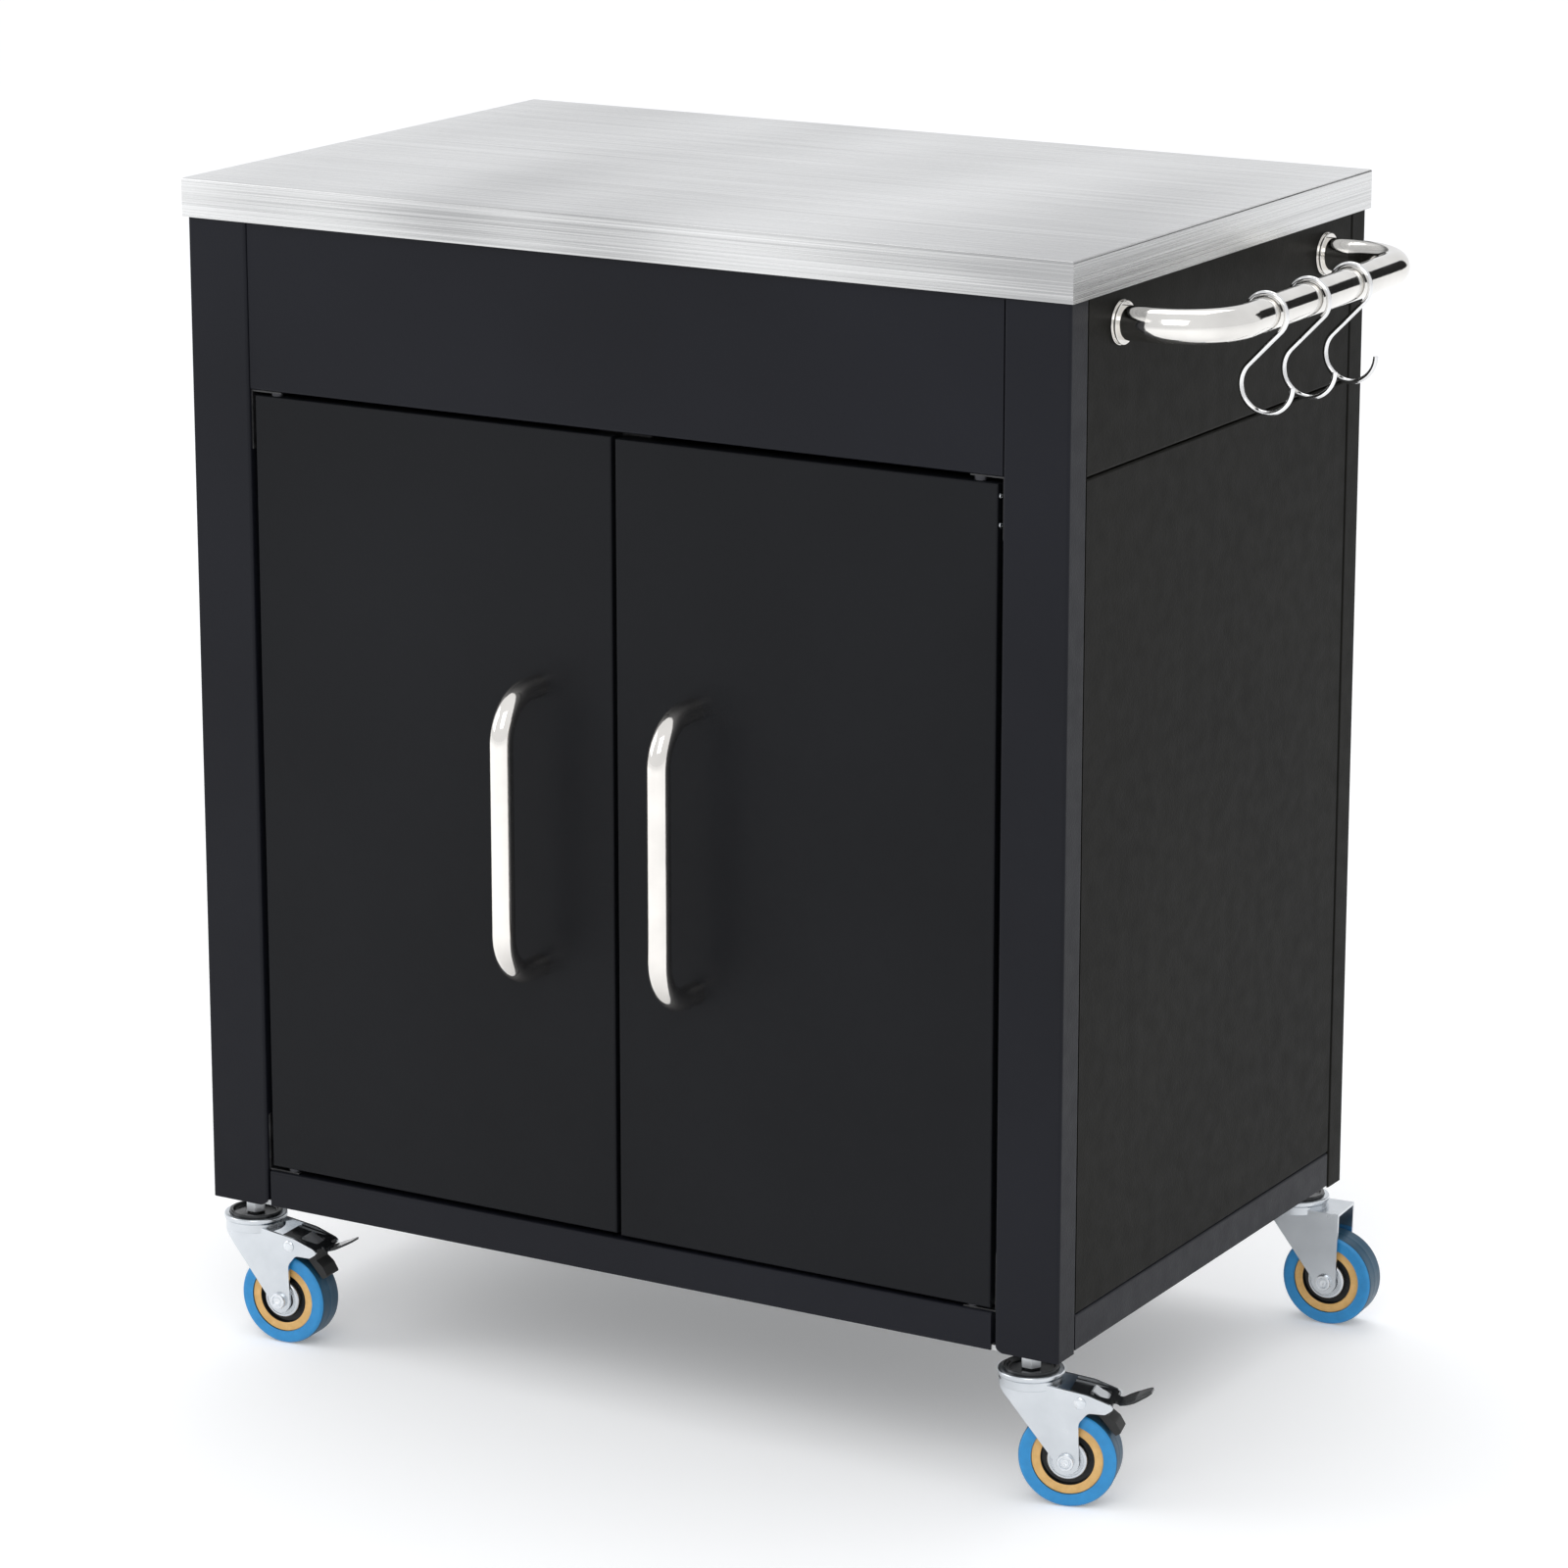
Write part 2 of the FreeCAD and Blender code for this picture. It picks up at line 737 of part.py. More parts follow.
def hinge_brackets():
    """Plates that hold the pins: an upright screwed to the post and an arm to the pivot."""
    plates = []
    for side, sign in SIDES.items():
        x, y = pivot(side)
        post = f"({HALF_WIDTH} - front_post_face)"
        upright_x = f"{sign} * {post} - (1 + {sign}) / 2 * bracket_sheet"
        arm_x = f"{sign} * {post} - (1 + {sign}) / 2 * bracket_reach"
        upper_arm = f"{HEADER_BOTTOM} - running_gap - bracket_sheet"
        lower_arm = "caster_height + tray_height"
        for arm_z, upright_z in (
            (upper_arm, f"{HEADER_BOTTOM} - running_gap - bracket_height"),
            (lower_arm, lower_arm),
        ):
            upright = box(
                upright_x, f"{y} - washer_radius", upright_z, "bracket_sheet", "bracket_width",
                "bracket_height",
            )
            arm = box(
                arm_x, f"{y} - washer_radius", arm_z, "bracket_reach", "bracket_width",
                "bracket_sheet",
            )
            hole = cylinder(x, y, arm_z, "pin_radius", "bracket_sheet")
            plates.append(cut(fuse(upright, arm), hole))
    group("hinge_brackets", plates)


def hinge_pins():
    """Four headed pins: each fills its bracket's hole and turns in the door's."""
    pins = []
    for side in SIDES:
        x, y = pivot(side)
        bottom = door_bottom(side)
        top = f"({bottom} + {DOOR_HEIGHT})"
        arm_top = f"({HEADER_BOTTOM} - running_gap)"
        pins.append(
            fuse(
                cylinder(x, y, f"{top} - pin_engagement", "pin_radius",
                         f"{arm_top} - {top} + pin_engagement"),
                cylinder(x, y, f"{top} + running_gap", "washer_radius",
                         f"{arm_top} - bracket_sheet - {top} - running_gap"),
            )
        )
        floor = "(caster_height + tray_height)"
        pins.append(
            fuse(
                cylinder(x, y, floor, "pin_radius", f"{bottom} - {floor} + pin_engagement"),
                cylinder(x, y, f"{floor} + bracket_sheet", "washer_radius",
                         f"{bottom} - {floor} - bracket_sheet - running_gap"),
            )
        )
    group("hinge_pins", pins)


def door_catch():
    """The double magnetic catch under the header's fold, at the doors' meeting edge."""
    body = new_body(
        "door_catch", "0", f"-{DOOR_FACE} + door_thickness + running_gap + strike_sheet",
        HEADER_BOTTOM,
    )
    block = rectangle(
        sketch_on(body, "XY_Plane"), "-catch_width / 2", "catch_width / 2", "0", "catch_depth",
        "frame_fold",
    )
    feature(body, "Pad", block, "catch_height", back=True)


def strike_plate(side):
    """The steel plate on a door's lip that the catch holds."""
    sign = SIDES[side]
    x, y = pivot(side)
    body = new_body(
        f"{side}_strike_plate",
        x,
        f"{y} + door_thickness - pivot_depth",
        f"{door_bottom(side)} + {DOOR_HEIGHT}",
    )
    near = f"-({sign}) * ({DOOR_WIDTH} - pivot_inset - door_sheet)"
    far = f"{near} + {sign} * strike_width"
    plate = rectangle(sketch_on(body, "XZ_Plane"), near, far, "-strike_height", "-door_sheet")
    feature(body, "Pad", plate, "strike_sheet", back=True)


def bent_tube(body, span, reach, bend, size, wall):
    """A tube from the wall plane out along X, round a bend, along Y and back again."""
    path = sketch_on(body, "XY_Plane")
    out, far, turn = number(reach), number(span), number(bend)
    upper = Vector(out - turn, far - turn, 0)
    lower = Vector(out - turn, turn, 0)
    axis = Vector(0, 0, 1)
    pieces = [
        Part.LineSegment(Vector(0, 0, 0), Vector(out - turn, 0, 0)),
        Part.ArcOfCircle(Part.Circle(lower, axis, turn), -math.pi / 2, 0),
        Part.LineSegment(Vector(out, turn, 0), Vector(out, far - turn, 0)),
        Part.ArcOfCircle(Part.Circle(upper, axis, turn), 0, math.pi / 2),
        Part.LineSegment(Vector(out - turn, far, 0), Vector(0, far, 0)),
    ]
    for piece in pieces:
        path.addGeometry(piece, False)
    link = Sketcher.Constraint
    rules = [
        link("Coincident", 0, 1, -1, 1),
        link("Horizontal", 0),
        link("Vertical", 2),
        link("Horizontal", 4),
        link("Equal", 1, 3),
        link("DistanceX", -1, 1, 4, 2, 0),
    ]
    rules += [link("Tangent", i, 2, i + 1, 1) for i in range(4)]
    for rule in rules:
        path.addConstraint(rule)
    radius(path, 1, bend, "bend")
    pin(path, "DistanceX", 2, 1, reach, "reach")
    pin(path, "DistanceY", 4, 2, span, "span")
    ring = sketch_on(body, "YZ_Plane")
    circle(ring, "0", "0", size)
    circle(ring, "0", "0", f"{size} - {wall}")
    pipe = body.newObject("PartDesign::AdditivePipe", "pipe")
    pipe.Profile = ring
    pipe.Spine = (path, [])
    body.Tip = pipe


# A door handle's tube stands out of the door: its X points to -Y and its Y up the door
OUT_OF_DOOR = FreeCAD.Rotation(Vector(0, -1, 0), Vector(0, 0, 1), Vector(-1, 0, 0), "XYZ")


def door_handle(side):
    """The bow handle near a door's free edge."""
    sign = SIDES[side]
    x = f"{sign} * (door_mid_gap / 2 + handle_inset)"
    level = f"caster_height + handle_low - {door_drop(side)}"
    body = new_body(f"{side}_handle", x, f"-{DOOR_FACE}", level, turn=OUT_OF_DOOR)
    bent_tube(
        body, "handle_span", "handle_reach", "handle_bend", "handle_radius", "handle_wall"
    )


BAR_WALL = f"({HALF_WIDTH} - panel_recess)"
BAR_LEVEL = "(caster_height + body_height - bar_drop)"
BAR_START = f"(-{HALF_DEPTH} + bar_front)"
BAR_SPAN = "(cabinet_depth - bar_front - bar_rear)"


def side_bar():
    """The towel bar on the right side, bent like the handles and thicker."""
    body = new_body("side_bar", BAR_WALL, BAR_START, BAR_LEVEL)
    bent_tube(body, BAR_SPAN, "bar_reach", "bar_bend", "bar_radius", "bar_wall")


def bar_flange(label, along):
    """A turned collar with two ridges, where the bar meets the side panel."""
    on_side = FreeCAD.Rotation(Vector(0, 0, -1), Vector(0, 1, 0), Vector(1, 0, 0), "XYZ")
    body = new_body(
        label, BAR_WALL, f"{BAR_START} + {along}", BAR_LEVEL, turn=on_side, grouped=True
    )
    groove = "flange_radius - flange_groove"
    third = "flange_length / 3"
    rounding = "flange_length / 8"
    profile = [
        ("bar_radius", "0"),
        ("flange_radius", "0", rounding),
        ("flange_radius", third, rounding),
        (groove, third),
        (groove, f"2 * {third}"),
        ("flange_radius - 0.5", f"2 * {third}", rounding),
        ("flange_radius - 0.5", "flange_length", rounding),
        ("bar_radius", "flange_length"),
    ]
    revolve(body, outline(sketch_on(body, "XZ_Plane"), profile))
    return body


def hook(label, index):
    """An S of round wire in one plane square to the bar, its upper loop over the bar."""
    seat = "hook_upper - hook_wire - bar_radius - hook_seat_gap"
    body = new_body(
        label,
        f"{BAR_WALL} + bar_reach",
        f"-{HALF_DEPTH} + hook_first + {index} * hook_pitch",
        f"{BAR_LEVEL} - ({seat})",
    )
    upper, lower = number("hook_upper"), number("hook_lower")
    across, down = number("hook_offset"), number("hook_centres")
    distance = math.hypot(across, down)
    along = Vector(across / distance, -down / distance, 0)
    square = Vector(-along.y, along.x, 0)
    lean = math.acos((upper + lower) / distance)
    to_tangent = along * math.cos(lean) + square * math.sin(lean)
    lower_centre = Vector(across, -down, 0)
    leave, meet = to_tangent * upper, lower_centre - to_tangent * lower
    axis = Vector(0, 0, 1)
    upper_start = math.atan2(leave.y, leave.x)
    lower_start = math.atan2(meet.y - lower_centre.y, meet.x - lower_centre.x) % (2 * math.pi)
    path = sketch_on(body, "XZ_Plane")
    path.addGeometry(
        Part.ArcOfCircle(
            Part.Circle(Vector(0, 0, 0), axis, upper),
            upper_start,
            math.radians(180 - number("hook_opening")),
        ),
        False,
    )
    path.addGeometry(Part.LineSegment(leave, meet), False)
    path.addGeometry(
        Part.ArcOfCircle(Part.Circle(lower_centre, axis, lower), lower_start, 2 * math.pi), False
    )
    link = Sketcher.Constraint
    path.addConstraint(link("Coincident", 0, 3, -1, 1))
    path.addConstraint(link("Tangent", 0, 1, 1, 1))
    path.addConstraint(link("Tangent", 1, 2, 2, 1))
    path.addConstraint(link("Horizontal", 2, 3, 2, 2))
    radius(path, 0, "hook_upper", "upper")
    radius(path, 2, "hook_lower", "lower")
    pin(path, "DistanceX", 2, 3, "hook_offset", "across")
    pin(path, "DistanceY", 2, 3, "-hook_centres", "down")
    pin(path, "DistanceX", 0, 2, "-hook_upper * cos(hook_opening)", "tip")
    section = body.newObject("Sketcher::SketchObject", "section")
    section.AttachmentSupport = [(path, "Edge2")]
    section.MapMode = "NormalToEdge"
    circle(section, "0", "0", "hook_wire")
    pipe = body.newObject("PartDesign::AdditivePipe", "pipe")
    pipe.Profile = section
    pipe.Spine = (path, [])
    body.Tip = pipe


CASTERS = {
    "front_left": ("-1", "-1"),
    "front_right": ("1", "-1"),
    "rear_left": ("-1", "1"),
    "rear_right": ("1", "1"),
}


def swivel(corner):
    """Where a caster turns, from the middle of the cabinet's footprint."""
    x_sign, y_sign = CASTERS[corner]
    x = f"{x_sign} * ({HALF_WIDTH} - caster_inset)"
    return x, f"{y_sign} * ({HALF_DEPTH} - caster_setback)"


CAP_TOP = "(caster_height - stem_reveal)"
FORK_TOP = "(caster_height - stem_reveal - crown_height)"
WHEEL_RADIUS = "((caster_height - stem_reveal - crown_height - wheel_room) / 2)"
BRAKE_LEVEL = "(caster_height - stem_reveal - crown_height - brake_drop)"
CORE_RADIUS = f"(core_share * {WHEEL_RADIUS})"
HUB_RADIUS = f"(hub_share * {WHEEL_RADIUS})"
PEDAL_BEND = f"(bend_share * {WHEEL_RADIUS})"
CAP_RADIUS = "(crown_radius - fork_sheet - race_gap)"


def corner_plates():
    """A drilled plate in the foot of each post, which the caster's stem screws into."""
    plates = []
    for corner, (x_sign, y_sign) in CASTERS.items():
        x, y = swivel(corner)
        wall = f"({HALF_WIDTH} - panel_recess - frame_sheet)"
        low_x = f"{x_sign} * {wall} - (1 + {x_sign}) / 2 * plate_side"
        low_y = f"{y_sign} * ({HALF_DEPTH} - frame_sheet) - (1 + {y_sign}) / 2 * plate_side"
        plate = box(
            low_x, low_y, "caster_height + tray_lift", "plate_side", "plate_side", "plate_sheet"
        )
        hole = cylinder(x, y, "caster_height", "stem_radius", "plate_sheet + 2 * tray_lift")
        plates.append(cut(plate, hole))
    group("corner_plates", plates)


def caster_stem(corner):
    """The threaded stem with its hex collar, and the king pin that the fork turns on."""
    x, y = swivel(corner)
    body = new_body(f"{corner}_stem", x, y, "0", grouped=True)
    flats = "nut_flats / 2"
    point = f"({flats} / cos(30))"
    corners = [
        (f"{point} * cos({60 * i})", f"{point} * sin({60 * i})") for i in range(6)
    ]
    collar = outline(sketch_on(body, "XY_Plane", CAP_TOP), corners)
    feature(body, "Pad", collar, "nut_height")
    stem = circle(sketch_on(body, "XY_Plane", CAP_TOP), "0", "0", "stem_radius")
    feature(body, "Pad", stem, "caster_height + tray_lift + plate_sheet + nut_height - " + CAP_TOP)
    king = circle(sketch_on(body, "XY_Plane", CAP_TOP), "0", "0", "kingpin_radius")
    feature(body, "Pad", king, "crown_height + fork_sheet + axle_head", back=True)
    head = circle(
        sketch_on(body, "XY_Plane", f"{FORK_TOP} - fork_sheet - race_gap"),
        "0", "0", "kingpin_radius + axle_head",
    )
    feature(body, "Pad", head, "axle_head - race_gap", back=True)
    return body


def caster_cap(corner):
    """The dished upper race, which stays with the stem."""
    x, y = swivel(corner)
    body = new_body(f"{corner}_cap", x, y, "0", grouped=True)
    low = f"{CAP_TOP} + race_gap - cap_height"
    rim = f"{CAP_RADIUS} - 2.5"
    profile = [
        ("kingpin_radius", low),
        (rim, low, "1.5"),
        (CAP_RADIUS, f"{CAP_TOP} - 0.8"),
        (CAP_RADIUS, f"{CAP_TOP} + 1.2", "0.5"),
        (rim, f"{CAP_TOP} + 1.2", "0.8"),
        (f"{rim} - 1.5", CAP_TOP + " - 1.4", "1"),
        ("nut_flats / 2 - 1", CAP_TOP + " - 1.4"),
        ("nut_flats / 2 - 1", CAP_TOP),
        ("kingpin_radius", CAP_TOP),
    ]
    revolve(body, outline(sketch_on(body, "XZ_Plane"), profile))
    return body


def rounded_channel(sketch, half, front, corner, open_end):
    """A plan outline with two rounded front corners and a square rear."""
    return outline(
        sketch,
        [
            (open_end, f"-({half})"),
            (open_end, half),
            (front, half, corner),
            (front, f"-({half})", corner),
        ],
    )


def caster_fork(corner, braked):
    """The pressed fork: crown ring, top plate, and two cranked legs down to the axle."""
    x, y = swivel(corner)
    body = new_body(f"{corner}_fork", x, y, "0", turn_text=f"{corner}_yaw")
    axle_x, axle_z = "caster_trail", WHEEL_RADIUS
    nose = [
        (f"{axle_x} + fork_boss - 1", f"{BRAKE_LEVEL} - 15.8", "8"),
        ("brake_pivot_x + 6", f"{BRAKE_LEVEL} - 7.3", "5"),
        ("brake_pivot_x + 19", f"{BRAKE_LEVEL} - 7.3", "4"),
        ("brake_pivot_x + 26", f"{BRAKE_LEVEL} - 2.3", "2"),
        ("brake_pivot_x + 22", f"{BRAKE_LEVEL} + 0.7", "1"),
        ("brake_pivot_x + 5", f"{FORK_TOP} - 5", "20"),
        ("crown_radius * 0.6", FORK_TOP),
    ]
    plain = [(f"{axle_x} + fork_boss + 1", FORK_TOP)]
    side = [
        ("-crown_radius", FORK_TOP),
        ("-crown_radius", f"{FORK_TOP} - 4", "4"),
        ("-crown_radius / 2", f"{FORK_TOP} - 15", "20"),
        (f"{axle_x} - fork_boss * 0.9", axle_z),
        (f"{axle_x} + fork_boss - 0.2", axle_z),
    ] + (nose if braked else plain)
    feature(body, "Pad", outline(sketch_on(body, "XZ_Plane"), side), "fork_width", True)
    boss = circle(sketch_on(body, "XZ_Plane"), axle_x, axle_z, "fork_boss")
    feature(body, "Pad", boss, "fork_width", True)
    plan = sketch_on(body, "XY_Plane")
    far = f"caster_trail + 2 * {WHEEL_RADIUS}"
    rectangle(plan, "-2 * crown_radius", far + " + 1", "-fork_width", "fork_width")
    rounded_channel(plan, "fork_width / 2", "-crown_radius", "fork_round", far)
    feature(body, "Pocket", plan, f"2 * {FORK_TOP}", back=True)
    inside = rounded_channel(
        sketch_on(body, "XY_Plane"),
        "fork_width / 2 - fork_sheet",
        "-crown_radius + fork_sheet",
        "fork_round - fork_sheet",
        far,
    )
    feature(body, "Pocket", inside, f"{FORK_TOP} - fork_sheet", back=True)
    if braked:
        slot = rounded_channel(
            sketch_on(body, "XY_Plane", f"{FORK_TOP} - 3 * fork_sheet"),
            "fork_width / 2 - fork_sheet",
            "kingpin_radius + axle_head + fork_sheet",
            "2",
            far,
        )
        feature(body, "Pocket", slot, "6 * fork_sheet", back=True)
    ring = "crown_radius - fork_sheet"
    profile = [
        ("kingpin_radius + fork_sheet", f"{FORK_TOP} - 0.5"),
        ("crown_radius", f"{FORK_TOP} - 5", "1"),
        ("crown_radius", f"{FORK_TOP} + 2", "1"),
        ("crown_radius + crown_lip", f"{FORK_TOP} + 3.6", "1"),
        ("crown_radius + crown_lip", f"{CAP_TOP} - 1", "1.4"),
        (ring, f"{CAP_TOP} - 1"),
        (ring, f"{FORK_TOP} + 1", "1"),
        ("kingpin_radius + fork_sheet", f"{FORK_TOP} + 1"),
    ]
    revolve(body, outline(sketch_on(body, "XZ_Plane"), profile))
    drill(
        body, "XY_Plane", "0", "0", "kingpin_radius + axle_clearance", f"2 * {FORK_TOP}", back=True
    )
    drill(body, "XZ_Plane", axle_x, axle_z, "axle_radius", "2 * fork_width", True)
    if braked:
        drill(
            body, "XZ_Plane", "brake_pivot_x", BRAKE_LEVEL, "brake_pin_radius",
            "2 * fork_width", True,
        )


def lying(body_label, corner, axle_x, axle_z):
    """A body whose XY plane stands upright, square to the caster's axle."""
    x, y = swivel(corner)
    yaw = f"{corner}_yaw"
    body = new_body(
        body_label,
        f"{x} + ({axle_x}) * cos({yaw})",
        f"{y} + ({axle_x}) * sin({yaw})",
        axle_z,
        turn_text=yaw,
    )
    return body


def turned(body, profile):
    """Revolve a profile of (along the axle, out from it) about the caster's axle."""
    sketch = outline(sketch_on(body, "YZ_Plane"), profile)
    made = body.newObject("PartDesign::Revolution", "revolution")
    made.Profile = sketch
    made.ReferenceAxis = (sketch, ["H_Axis"])
    made.Angle = 360
    body.Tip = made


def ring_profile(half, inner, outer, corner=None):
    high = [(half, outer), (f"-({half})", outer)]
    if corner:
        high = [p + (corner,) for p in high]
    return [(f"-({half})", inner), (half, inner)] + high


def caster_axle(corner):
    """A bolt through both legs, headed outside them."""
    body = lying(f"{corner}_axle", corner, "caster_trail", WHEEL_RADIUS)
    leg = "fork_width / 2"
    end = "fork_width / 2 + axle_head"
    profile = [
        (f"-({end})", "0"),
        (end, "0"),
        (end, "axle_head_radius", "1.2"),
        (leg, "axle_head_radius"),
        (leg, "axle_radius"),
        (f"-({leg})", "axle_radius"),
        (f"-({leg})", "axle_head_radius"),
        (f"-({end})", "axle_head_radius", "1.2"),
    ]
    turned(body, profile)


def wheel_core(corner):
    """The moulded centre: a hub, a thin web and the rim that the tyre is cast on."""
    body = lying(f"{corner}_wheel_core", corner, "caster_trail", WHEEL_RADIUS)
    bore = "axle_radius + axle_clearance"
    hub, web, rim = "hub_width / 2", "core_web / 2", "core_width / 2"
    rim_radius = f"rim_share * {WHEEL_RADIUS}"
    right = [
        (hub, bore),
        (hub, HUB_RADIUS),
        (web, HUB_RADIUS),
        (web, rim_radius, "1.5"),
        (rim, rim_radius, "0.6"),
        (rim, CORE_RADIUS),
    ]
    left = [(f"-({p[0]})",) + p[1:] for p in reversed(right)]
    turned(body, right + left)


def tyre(corner):
    """The elastic blue tyre with rounded shoulders."""
    body = lying(f"{corner}_tyre", corner, "caster_trail", WHEEL_RADIUS)
    turned(body, ring_profile("tyre_width / 2", CORE_RADIUS, WHEEL_RADIUS, "tyre_shoulder"))


def dust_covers(corner):
    """A pressed steel cover in each side of the wheel, dished over the bearing."""
    x, y = swivel(corner)
    yaw = f"{corner}_yaw"
    sheet = number("cover_sheet")
    inner = number(HUB_RADIUS)
    outer = number(f"cover_share * {WHEEL_RADIUS}")
    face = number("hub_width") / 2 - 0.4
    root = number("core_web") / 2
    covers = []
    for side in (-1, 1):
        points = [
            (inner, face),
            (inner, face - sheet),
            (outer - 3 - sheet, face - sheet),
            (outer - sheet, root),
            (outer, root),
            (outer - 2, face),
        ]
        ring = Part.makePolygon(
            [Vector(0, side * along, out) for out, along in points + points[:1]]
        )
        covers.append(Part.Face(ring).revolve(Vector(0, 0, 0), Vector(0, 1, 0), 360))
    made = doc.addObject("Part::Feature", "covers")
    made.Shape = Part.makeCompound(covers)
    keep(
        made,
        f"{corner}_dust_covers",
        f"{x} + caster_trail * cos({yaw})",
        f"{y} + caster_trail * sin({yaw})",
        WHEEL_RADIUS,
        turn_text=yaw,
    )


def brake_lever(corner):
    """The pedal: a pressed channel between the legs that ends in a foot plate."""
    body = lying(f"{corner}_brake_lever", corner, "brake_pivot_x", BRAKE_LEVEL)
    reach = f"(caster_trail + {PEDAL_BEND} - brake_pivot_x)"
    top = [
        ("-pedal_start", "pedal_rise"),
        (reach + " - 4", "pedal_dip", "4"),
        (reach + " + 3", "foot_dip", "3"),
        (reach + " + foot_length * 0.55", "foot_middle", "14"),
        (reach + " + foot_length", "foot_rise"),
    ]
    under = [
        (reach + " + foot_length + 0.3", "foot_rise - brake_plate"),
        (reach + " + foot_length * 0.55 + 0.3", "foot_middle - brake_plate", "12"),
        (reach + " + 3", "foot_dip - brake_plate", "3"),
        (reach + " - 4.5", "pedal_dip - brake_plate", "3"),
        ("-pedal_start", "pedal_rise - brake_plate"),
    ]
    sheet = outline(sketch_on(body, "XZ_Plane"), top + under)
    feature(body, "Pad", sheet, "brake_width", True)
    for sign in ("-1", "1"):
        beside = outline(
            sketch_on(body, "XY_Plane"),
            [
                (reach + " - 1", f"{sign} * brake_width"),
                (reach + " - 1", f"{sign} * foot_neck", "2"),
                (reach + " + foot_length * 0.45", f"{sign} * foot_leaf", "12"),
                (reach + " + foot_length * 0.9", f"{sign} * (foot_leaf + foot_tip) / 2", "5"),
                (reach + " + foot_length + 1", f"{sign} * foot_tip"),
                (reach + " + foot_length + 1", f"{sign} * brake_width"),
            ],
        )
        feature(body, "Pocket", beside, "4 * foot_rise", True)
    cheek = outline(
        sketch_on(body, "XZ_Plane"),
        [
            ("0.2 - pedal_start", "pedal_rise - 0.6"),
            ("0.8 - pedal_start", "pedal_rise - brake_side", "3"),
            ("8", "-1.5 - brake_side * 0.4", "3"),
            (reach + " - 5", "pedal_dip - 1"),
        ],
    )
    feature(body, "Pad", cheek, "brake_width", True)
    between = outline(
        sketch_on(body, "XZ_Plane"),
        [
            ("-pedal_start", "pedal_rise - brake_plate"),
            (reach + " - 4.5", "pedal_dip - brake_plate"),
            (reach + " - 4.5", "-2 * brake_side"),
            ("-pedal_start", "-2 * brake_side"),
        ],
    )
    feature(body, "Pocket", between, "brake_width - 2 * brake_plate", True)
    window = rectangle(
        sketch_on(body, "XY_Plane"),
        "brake_pin_radius + 1",
        reach + " - window_margin",
        "-window_width / 2",
        "window_width / 2",
        "2",
    )
    feature(body, "Pocket", window, "4 * pedal_rise", True)
    drill(
        body, "XZ_Plane", "0", "0", "brake_pin_radius + axle_clearance", "2 * fork_width", True
    )


def brake_pin(corner):
    """The rivet through the legs that the pedal turns on."""
    body = lying(f"{corner}_brake_pin", corner, "brake_pivot_x", BRAKE_LEVEL)
    leg = "fork_width / 2"
    end = "fork_width / 2 + 1.6"
    profile = [
        (f"-({end})", "0"),
        (end, "0"),
        (end, "brake_pin_radius + 1.2", "1"),
        (leg, "brake_pin_radius + 1.2"),
        (leg, "brake_pin_radius"),
        (f"-({leg})", "brake_pin_radius"),
        (f"-({leg})", "brake_pin_radius + 1.2"),
        (f"-({end})", "brake_pin_radius + 1.2", "1"),
    ]
    turned(body, profile)


def brake_shoe(corner):
    """The rubber block under the pedal, its flat sole square to the tyre."""
    body = lying(f"{corner}_brake_shoe", corner, "caster_trail", WHEEL_RADIUS)
    sole = f"({WHEEL_RADIUS} + shoe_gap)"
    crest = f"({sole} + shoe_thickness)"
    middle = "((shoe_from + shoe_to) / 2)"
    spread = "cos((shoe_to - shoe_from) / 2)"
    block = outline(
        sketch_on(body, "XZ_Plane"),
        [
            (f"{sole} / {spread} * cos(shoe_from)", f"{sole} / {spread} * sin(shoe_from)"),
            (f"{crest} * cos(shoe_from)", f"{crest} * sin(shoe_from)", "1.5"),
            (f"{crest} / {spread} * cos({middle})", f"{crest} / {spread} * sin({middle})", "6"),
            (f"{crest} * cos(shoe_to)", f"{crest} * sin(shoe_to)", "1.5"),
            (f"{sole} / {spread} * cos(shoe_to)", f"{sole} / {spread} * sin(shoe_to)"),
        ],
    )
    feature(body, "Pad", block, "shoe_width", True)
    near, far = f"({PEDAL_BEND} - 5 - lug_length)", f"({PEDAL_BEND} - 5)"
    level = f"{BRAKE_LEVEL} - {WHEEL_RADIUS} + pedal_dip - brake_plate - lug_gap"
    lug = outline(
        sketch_on(body, "XZ_Plane"),
        [
            (near, f"({sole} - {near} * cos({middle})) / sin({middle})"),
            (far, f"({sole} - {far} * cos({middle})) / sin({middle})"),
            (far, level),
            (near, level),
        ],
    )
    feature(body, "Pad", lug, "shoe_width", True)


corner_post("front_left_post", "-1", "-1", "front_post_face", "front_post_side")
corner_post("front_right_post", "1", "-1", "front_post_face", "front_post_side")
corner_post("rear_left_post", "-1", "1", "rear_post_face", "rear_post_side")
corner_post("rear_right_post", "1", "1", "rear_post_face", "rear_post_side")
header_panel()
for side, sign in SIDES.items():
    upper_height = "(header_height + worktop_skirt - worktop_sheet)"
    lower_height = "(body_height - header_height - tray_height - panel_gap)"
    side_panel(f"{side}_upper_panel", sign, HEADER_BOTTOM, upper_height)
    side_panel(f"{side}_lower_panel", sign, "caster_height + tray_height", lower_height)
back_panel()
base_tray()
corner_plates()
worktop()
group(
    "worktop_stiffeners",
    [worktop_stiffener("front_stiffener", "-1"), worktop_stiffener("rear_stiffener", "1")],
)
shelf()
shelf_rails()
hinge_brackets()
hinge_pins()
door_catch()
side_bar()
group(
    "side_bar_flanges",
    [bar_flange("front_bar_flange", "0"), bar_flange("rear_bar_flange", BAR_SPAN)],
)
for side in SIDES:
    door(side)
    door_handle(side)
    strike_plate(side)
for index, place in enumerate(("front", "middle", "rear")):
    hook(f"{place}_hook", index)
group("caster_stems", [caster_stem(corner) for corner in CASTERS])
